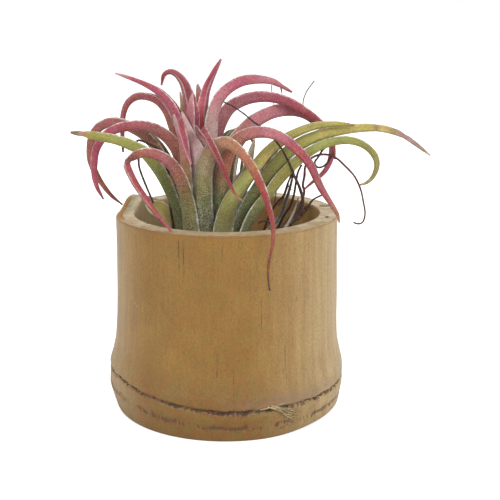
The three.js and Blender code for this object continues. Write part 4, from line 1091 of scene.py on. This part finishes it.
               (21.3, 5, 107.2), (26.8, 7, 106.1), (31.7, 8.4, 103), (35.9, 9, 99.3), (38, 9, 94.9),
               (37.8, 8.4, 89.8), (35.8, 7.6, 85.1), (28.2, 6, 78.3)]),
    "frontArchLeaf": dict(
        rank=5, side=290, sheath=5.4, blade=5.2, fold=56, narrow=0.6, tip=0.12,
        scurf=[(0, 0.7), (0.3, 0.5), (0.5, 0.25), (1, 0.14)],
        outer="darkGreen .38 leafGreen .42 oliveBrown .48 orange .56 brick .66 dustyPink .76 crimson "
              ".93 mauve 1 apricot",
        inner="darkGreen .5 redOrange .7 deepRed .9 crimson 1 apricot",
        route=[(-2, -12.2, 72), (-1.8, -12.4, 84), (0, -13, 93), (2, -13.6, 97.5), (6, -13.8, 100.5),
               (11.8, -14.2, 101.6), (17.3, -14.8, 100.4), (23.3, -15.4, 96), (27.8, -15.6, 91),
               (32, -15.4, 82.6), (35.6, -15.2, 77.2), (38, -15.4, 73.3), (38.8, -15.8, 70.5)]),
    "greenBackArchLeaf": dict(
        rank=3, side=36, sheath=4.4, blade=4.6, fold=45,
        outer="darkGreen .6 leafGreen .85 olive 1 oliveBrown",
        inner="leafGreen .7 leafGreen 1 oliveYellow",
        route=[(-1.2, 3, 80), (-2.9, 5.2, 93), (-1.6, 7.4, 96.3), (0.8, 9, 99.2), (4.5, 13, 99.4),
               (7.5, 18, 97.8), (9.5, 23, 93.4)]),
    "oliveUprightLeaf": dict(
        rank=5, side=332, sheath=4.6, blade=6, fold=35, narrow=0, tip=0.2,
        scurf=[(0, 0.75), (0.7, 0.6), (1, 0.4)],
        outer="greyGreen .5 silverGreen .7 paleGreen .9 tan 1 paleTip",
        inner="darkGreen .6 olive .85 oliveYellow 1 apricot",
        route=[(4.4, -7.4, 64), (5.2, -6.6, 79.7), (7, -6.8, 89), (8.2, -7, 94.7), (9.1, -7.4, 98.7)]),
    "greyUprightLeaf": dict(
        rank=4, side=320, sheath=3.6, blade=2.8, fold=22, scurf=[(0, 0.85), (1, 0.7)],
        outer="paleGreen .7 paleGreen 1 paleTip",
        inner="greyGreen .7 silverGreen 1 paleTip",
        route=[(1.6, -9, 66), (2, -9.6, 80), (2.4, -9.9, 90), (3.4, -9.9, 95.4)]),
    "slimGreenLeaf": dict(
        rank=3, side=330, sheath=3.8, blade=2.6, fold=22, scurf=[(0, 0.7), (1, 0.5)],
        outer="leafGreen .6 silverGreen .8 olive 1 oliveYellow",
        inner="darkGreen .6 leafGreen 1 oliveYellow",
        route=[(2.4, -5.6, 66), (4.2, -5, 80), (4.9, -4.6, 91), (5.8, -4.4, 94.8)]),
    "upperGreenLeaf": dict(
        rank=7, side=286, sheath=5.6, blade=5.4, fold=58, narrow=0.6, tip=0.12, scurf=lightScurf,
        outer="silverGreen .42 olive .55 limeGreen .65 sunGreen .82 oliveYellow .96 oliveYellow 1 "
              "oliveBrown",
        inner="darkGreen .6 leafGreen .9 olive 1 oliveBrown",
        route=[(-2.2, -15.8, 65), (0.8, -16, 77), (5.1, -14, 83.6), (9.7, -11.6, 89.1), (14.3, -9.4, 94.4),
               (18.5, -8.2, 97.7), (23.7, -8, 100.6), (28.6, -7.6, 102.5), (33.8, -7.4, 103.6),
               (39.1, -7.4, 103.8), (44, -7.4, 103.4)]),
    "longestGreenLeaf": dict(
        rank=6, side=313, sheath=5, blade=5.4, fold=58, narrow=0.7, tip=0.12,
        nicks=[(0.82, 0.15, 0.7), (0.905, 0.32, 0.9)], scurf=lightScurf,
        # the sunGreen stops are painted light on the underside, which faces down into shade
        outer="greyGreen .38 leafGreen .48 olive .56 limeGreen .66 sunGreen .8 sunGreen .814 tan .82 "
              "russet .826 sunGreen .87 tan .9 ash .95 ash .98 tan 1 paleTip",
        inner="darkGreen .5 olive .66 sunGreen .8 oliveYellow .9 mauve 1 paleTip",
        route=[(2.6, -10.8, 62), (5.7, -9.6, 71.7), (10.3, -8.2, 79.6), (15.5, -7, 87.6),
               (21.1, -6.4, 93.5), (26, -6, 96.8), (31.6, -5.6, 99.3), (39.4, -5, 101.1), (47.5, -4.5, 102),
               (53.6, -4, 101.8), (59, -4, 100.5), (62.6, -4, 98.9), (66.6, -4, 96.2), (69.5, -4, 94.1),
               (71.9, -4, 92.3)]),
    "curledGreenLeaf": dict(
        rank=7, side=318, sheath=4.8, blade=4.6, fold=55, narrow=0.6, tip=0.12, scurf=lightScurf,
        outer="greyGreen .4 leafGreen .55 oliveYellow .7 limeGreen .88 olive 1 tan",
        inner="darkGreen .5 darkGreen .7 olive .9 oliveYellow 1 silverGreen",
        route=[(6, -13, 66), (9.2, -13, 73), (13.8, -11.8, 79), (17.2, -10.4, 83.8), (22, -9, 89),
               (26.5, -8.4, 92.8), (31.6, -8.2, 96), (37.5, -8.6, 98), (42.6, -9.4, 98.3), (47, -10, 97),
               (50.2, -10.5, 94.4), (51.8, -11, 91.3), (51.7, -11, 88.2), (50.3, -11, 85.2),
               (48.2, -11, 83.4), (46, -11, 82.8)]),
}

backLeaves = [  # rank, side, reach, peak, outer colours
    (3, 78, 26, 96, "silverGreen .55 silverPink .8 dustyPink 1 rosePale"),
    (4, 64, 30, 91, "greyGreen .6 oliveYellow .85 mauve 1 rosePale"),
    (4, 112, 28, 91, "silverGreen .6 silverPink .85 magenta 1 rosePale"),
    (5, 86, 38, 87, "greyGreen .6 silverGreen .8 dustyPink 1 crimson"),
    (6, 66, 44, 82, "greyGreen .6 olive .85 brick 1 mauve"),
    (6, 106, 42, 82, "silverGreen .6 oliveYellow .9 dustyPink 1 rosePale"),
    (7, 86, 50, 77, "darkGreen .5 leafGreen .8 oliveYellow 1 brick"),
]
backArch = [(0.4, 10), (0.55, 3), (0.72, 0), (0.88, 2), (1, 6)]  # share of the reach, drop below the peak


def backLeaf(rank, side, reach, peak, outer):
    x, y = math.cos(math.radians(side)), math.sin(math.radians(side))
    cx, cy = rosette["crown"]
    route = [(cx + s * reach * x, cy + s * reach * y, peak - drop) for s, drop in backArch]
    return dict(rank=rank, side=side, sheath=3.8, blade=4.6, fold=30, outer=outer,
                inner="darkGreen .6 leafGreen .85 crimson 1 dustyPink", route=route)


for i, (name, leaf) in enumerate(leaves.items()):
    buildLeaf(name, i, leaf, leafMaterial)
for i, values in enumerate(backLeaves):
    buildLeaf(f"backLeaf{i + 1}", 40 + i, backLeaf(*values), leafMaterial)
print("living leaves built:", len(leaves) + len(backLeaves))

deadBlades = {
    "deadBackBlade": dict(
        rank=6, side=22, sheath=3, blade=3, fold=15, scurf=dryScurf,
        outer="withered .5 driedGrey 1 withered",
        inner="withered .5 driedGrey 1 withered",
        route=[(11, 2, 60), (18.6, 3, 68), (21.4, 2.8, 76), (24, 3.2, 86.6)]),
    "deadFrontBlade": dict(
        rank=8.2, side=333, sheath=3, blade=3.2, fold=15, scurf=dryScurf,
        outer="driedGrey .5 bleachedGrey .85 bleachedGrey 1 withered",
        inner="driedGrey .5 bleachedGrey .85 bleachedGrey 1 withered",
        route=[(12.6, -11.4, 60), (19.4, -13.2, 67.6), (22.4, -13.6, 73.5), (24.2, -13.6, 79)]),
}

for i, (name, leaf) in enumerate(deadBlades.items()):
    buildLeaf(name, 60 + i, leaf, deadLeafMaterial, "dead_leaves")

# Each strand runs from its thick foot on the stem to its thin end
strands = {
    "longDryStrand": dict(
        rank=7, side=347, thick=1.1, thin=0.36,
        swollen=[(0, 1.2), (0.12, 1.8), (0.24, 1.8), (0.36, 1.5), (0.44, 1), (0.7, 0.72), (1, 0.66)],
        wrinkle=0.5, sides=14, scurf=[(0, 0.7), (0.36, 0.65), (0.46, 0.1), (1, 0)],
        route=[(12, -7.6, 52), (20.5, -10, 68), (24.3, -10.4, 71.4), (26.2, -10.6, 77), (25.4, -11.4, 80.8),
               (23.1, -12, 86.3), (20.6, -12.2, 92), (17.7, -12, 97), (12.5, -9.6, 102.4),
               (9.4, -8.6, 104.4), (5.3, -7.8, 107.7), (1.8, -7.4, 110), (-1.3, -7.2, 111.5)]),
    "curlingDryStrand": dict(
        rank=6, side=352, thick=0.7, thin=0.3, young=True,
        route=[(12, -5.4, 52), (22, -7, 67.5), (25.5, -6.6, 74.5), (27, -6.4, 79.7), (26.5, -6.2, 82),
               (27, -6, 85), (27.4, -6, 89), (29.5, -5.6, 91.6), (33.1, -5.2, 92.8), (37.7, -4, 91.7),
               (41.9, -4, 88.2), (45.2, -4, 84.5), (47.3, -5, 80), (48.2, -6, 75.8), (48.8, -7, 71.6),
               (47.8, -8, 68.8), (46.2, -8.5, 68.4), (44.5, -9, 69)]),
    "forkedDryStrand": dict(
        rank=5, side=357, thick=0.7, thin=0.36,
        route=[(12, -3.4, 52), (19.9, -4, 70.4), (22.3, -4, 74.2), (23.6, -4, 78.6), (24, -4, 81.4),
               (24.8, -4.2, 86.2), (26.1, -4.4, 89)]),
    "innerDryStrand": dict(
        rank=5, side=11, thick=0.6, thin=0.34,
        route=[(10, -1.8, 55), (15, -2, 70.5), (17.9, -1.6, 75.2), (19.9, -1.6, 77.4), (21.2, -1.6, 81.2),
               (22.8, -1.6, 85.4)]),
    "loopedDryStrand": dict(
        rank=4, side=4, thick=0.6, thin=0.34,
        route=[(6, -1.4, 60), (14, -1.4, 80), (22.3, -1.6, 90), (31.2, -2, 95.8), (35.1, -2.4, 95.6),
               (33.4, -3, 93.8), (32.1, -3.2, 91.6), (30.8, -3.4, 89.6), (31.8, -3.8, 88),
               (33.9, -3.8, 88.4), (36, -3.4, 90.6), (37, -3, 92.6)]),
    "uprightDryStrand": dict(
        rank=4.4, side=30, thick=0.45, thin=0.18, young=True,
        route=[(5, 1.6, 75), (13, 5, 87), (20.4, 8, 94.4), (26, 10, 98), (30, 11.4, 100.2),
               (30.6, 12.4, 102.6), (28.6, 12.6, 106.2), (27.6, 12.6, 108.7), (28.6, 12.4, 112.8),
               (31.6, 12.4, 117.2)]),
    "lowArchedStrand": dict(
        rank=8.6, side=318, thick=0.6, thin=0.34,
        route=[(9, -14.6, 50), (15.2, -16.4, 66.5), (14.8, -16.4, 70.2), (12.7, -16.4, 71.4),
               (10.2, -16.4, 70.6)]),
    "leftDryStrand": dict(
        rank=8.6, side=194, thick=0.6, thin=0.34, sides=10,
        swollen=[(0, 1), (0.52, 1), (0.58, 1.6), (0.66, 1.6), (0.7, 1)],
        route=[(-18.8, -6.8, 58), (-20.8, -7.8, 78), (-21.4, -9.6, 90), (-24, -10.4, 95.6),
               (-27.4, -10.6, 97.6), (-29.4, -10.8, 98.5), (-31, -11, 98.8), (-31.7, -11, 97.6),
               (-31, -11, 94.8), (-30.8, -11, 89.7), (-29.3, -11, 84.8), (-27.3, -11.4, 79.8),
               (-26.2, -11.6, 76.8)]),
    "dryTwig": dict(
        thick=0.45, thin=0.3,
        route=[(27, -10.3, 73.8), (28.2, -10.6, 75.3), (29.7, -11.2, 77.7), (33.3, -12.4, 79.9)]),
}


def strandRadius(stalk):
    shares = np.linspace(0, 1, 24)
    thinned = stalk["thick"] + (stalk["thin"] - stalk["thick"]) * shares ** rosette["strandPower"]
    return list(zip(shares, valueRun(stalk.get("swollen", [(0, 1)]), shares) * thinned))


for i, (name, stalk) in enumerate(strands.items()):
    finish = youngStrandMaterial if "young" in stalk else strandMaterial
    stalk = {**stalk, "radius": strandRadius(stalk)}
    buildStalk(name, 80 + i, stalk, finish, "dry_strands", nodeNamed(name))
print("dead parts built")

# The stem, with the rings of old leaf bases
stem = {
    "axis": (-6, -3), "foot": 12.8, "top": 41.4, "length": 28, "steps": 90, "sides": 40, "rings": 9,
    "ringDepth": 0.35, "outline": [(12.8, 6.4), (13.4, 7), (17.6, 11.4), (34, 6.6), (41.4, 2.6)],
}


def buildStem():
    heights = np.linspace(stem["foot"], stem["top"], stem["steps"])
    t = np.linspace(0, 1, stem["steps"])
    rings = 0.5 + 0.5 * np.cos(t * 2 * math.pi * stem["rings"])
    outline = valueRun(stem["outline"], heights) - stem["ringDepth"] * rings
    run = np.array([(*stem["axis"], height) for height in heights], float)
    along, faces = carryFaces(run, (0, -1, 0))
    rail = makeRail("stem", run, railSide=np.cross(along, faces), railFace=faces, railRadius=outline * mm,
                    railTravel=t * stem["length"] * mm)
    mesh = drawAlong("stem", rail, stalkTree, {
        "Steps": stem["steps"], "Sides": stem["sides"], "Seed": 5.0, "Wrinkle": 0.05,
        "Finish": barkMaterial})
    placePiece("stemPiece", mesh, "woody_stem", "stem")


buildStem()
print("stem built")


# Separate threads that make up one piece
def buildThreads(name, seed, routes, thick, steps, material, slotName):
    points, edges = [], []
    layers = {"railSide": [], "railFace": [], "railRadius": [], "railTravel": []}
    for route in routes:
        run, length = curveThrough(route, 0.4)
        along, faces = carryFaces(run, (0.1, -1, 0.1))
        t = np.linspace(0, 1, len(run))
        edges += [(len(points) + i, len(points) + i + 1) for i in range(len(run) - 1)]
        points += run.tolist()
        thinned = thick * (1 - 0.6 * t) * mm
        for key, values in zip(layers, (np.cross(along, faces), faces, thinned, t * length * mm)):
            layers[key] += values.tolist()
    mesh = drawAlong(name, makeRail(name, points, edges, **layers), stalkTree, {
        "Steps": steps, "Sides": 5, "Seed": float(seed), "Wrinkle": 0.3, "Finish": material})
    placePiece(name, mesh, slotName)


# Frayed fibres on the node, with a few that lie along its groove
tuft = {
    "azimuth": -69, "height": 13.0, "drop": (2.6, 5.2), "sweep": (15, -5), "threads": 13, "thick": 0.2,
    "seed": 3, "grooveHeight": 11.9, "grooveThreads": [(-75, -62), (-73, -60), (-70, -63)],
}


def tuftRoutes():
    rng = np.random.default_rng(tuft["seed"])
    routes = []
    for i in range(tuft["threads"]):
        share = i / (tuft["threads"] - 1)
        azimuth, height = tuft["azimuth"] + rng.uniform(-3, 2), tuft["height"] + rng.uniform(-0.7, 0.4)
        (drop, dropMore), (sweep, sweepMore) = tuft["drop"], tuft["sweep"]
        drop = drop + dropMore * share + rng.uniform(-1.4, 1.2)
        sweep = sweep + sweepMore * share + rng.uniform(-5, 2.5)
        route = []
        for s in (0, 0.25, 0.5, 0.75, 1):
            lift = 0.15 + 1.1 * math.sin(math.pi * s) * rng.uniform(0.3, 1) + 0.5 * s * rng.uniform(0, 1)
            level = height - drop * s ** 1.2 + 0.9 * rng.uniform(-1, 1) * s
            route.append(offSkin(azimuth + sweep * s, level, lift))
        routes.append(route)
    for start, end in tuft["grooveThreads"]:
        routes.append([offSkin(start + (end - start) * s,
                               tuft["grooveHeight"] + 1.2 * s + rng.uniform(-0.3, 0.3), 0.25)
                       for s in (0, 0.3, 0.6, 1)])
    return routes


buildThreads("frayedFibres", 9, tuftRoutes(), tuft["thick"], 22, fibreMaterial, "bamboo")

# Fine curls among the dry strands, each a few points
tangle = {"thick": 0.26, "routes": [
    [(21.9, -9, 86), (21.2, -9, 82.4), (22, -9, 81), (23.6, -9, 80.8)],
    [(25.6, -9.6, 71.6), (27.6, -9, 75), (29.4, -9, 74.4), (27, -9, 73), (25.4, -9, 72)],
    [(17.6, -8, 75), (19.3, -8, 77.4), (20.8, -8, 81), (21.8, -8, 86)],
    [(17.9, -13, 68), (20.6, -13, 70.8), (23, -12.4, 74), (24, -12, 77.4)],
    [(24.6, -10, 70), (26.2, -10, 72), (27.4, -10, 73.4), (26.6, -10, 75.4)],
    [(16.4, -9, 76), (16.8, -9, 79.4), (17.5, -9, 82)],
]}
buildThreads("fineTangle", 11, tangle["routes"], tangle["thick"], 26, youngStrandMaterial, "dry_strands")

hangingHair = {"radius": [(0, 0.16), (1, 0.1)], "step": 0.4, "sides": 5, "route": [
    (15.5, 0.2, 116.6), (15.6, 0.6, 114.2), (16.3, 1.3, 111.8), (16.2, 1.6, 110.4), (16.9, 2, 108.6)]}
buildStalk("hangingHair", 120, hangingHair, strandMaterial, "dry_strands")
paleHair = {"radius": [(0, 0.1), (0.5, 0.16), (1, 0.1)], "step": 0.4, "sides": 5, "route": [
    (13.4, -44, 65.2), (14.6, -44.2, 63.4), (15.9, -43.6, 61)]}
buildStalk("paleHair", 121, paleHair, fibreMaterial, "dry_strands")
tornSliver = {"radius": [(0, 0.55), (0.5, 0.32), (1, 0.12)], "step": 0.3, "sides": 7, "route": [
    (18, -1.2, 117), (18.6, -1.3, 116.4), (18.9, -1.3, 115), (19.1, -1.3, 113.7)]}
buildStalk("tornSliver", 130, tornSliver, sliverMaterial, "living_leaves")
print("loose fibres built")
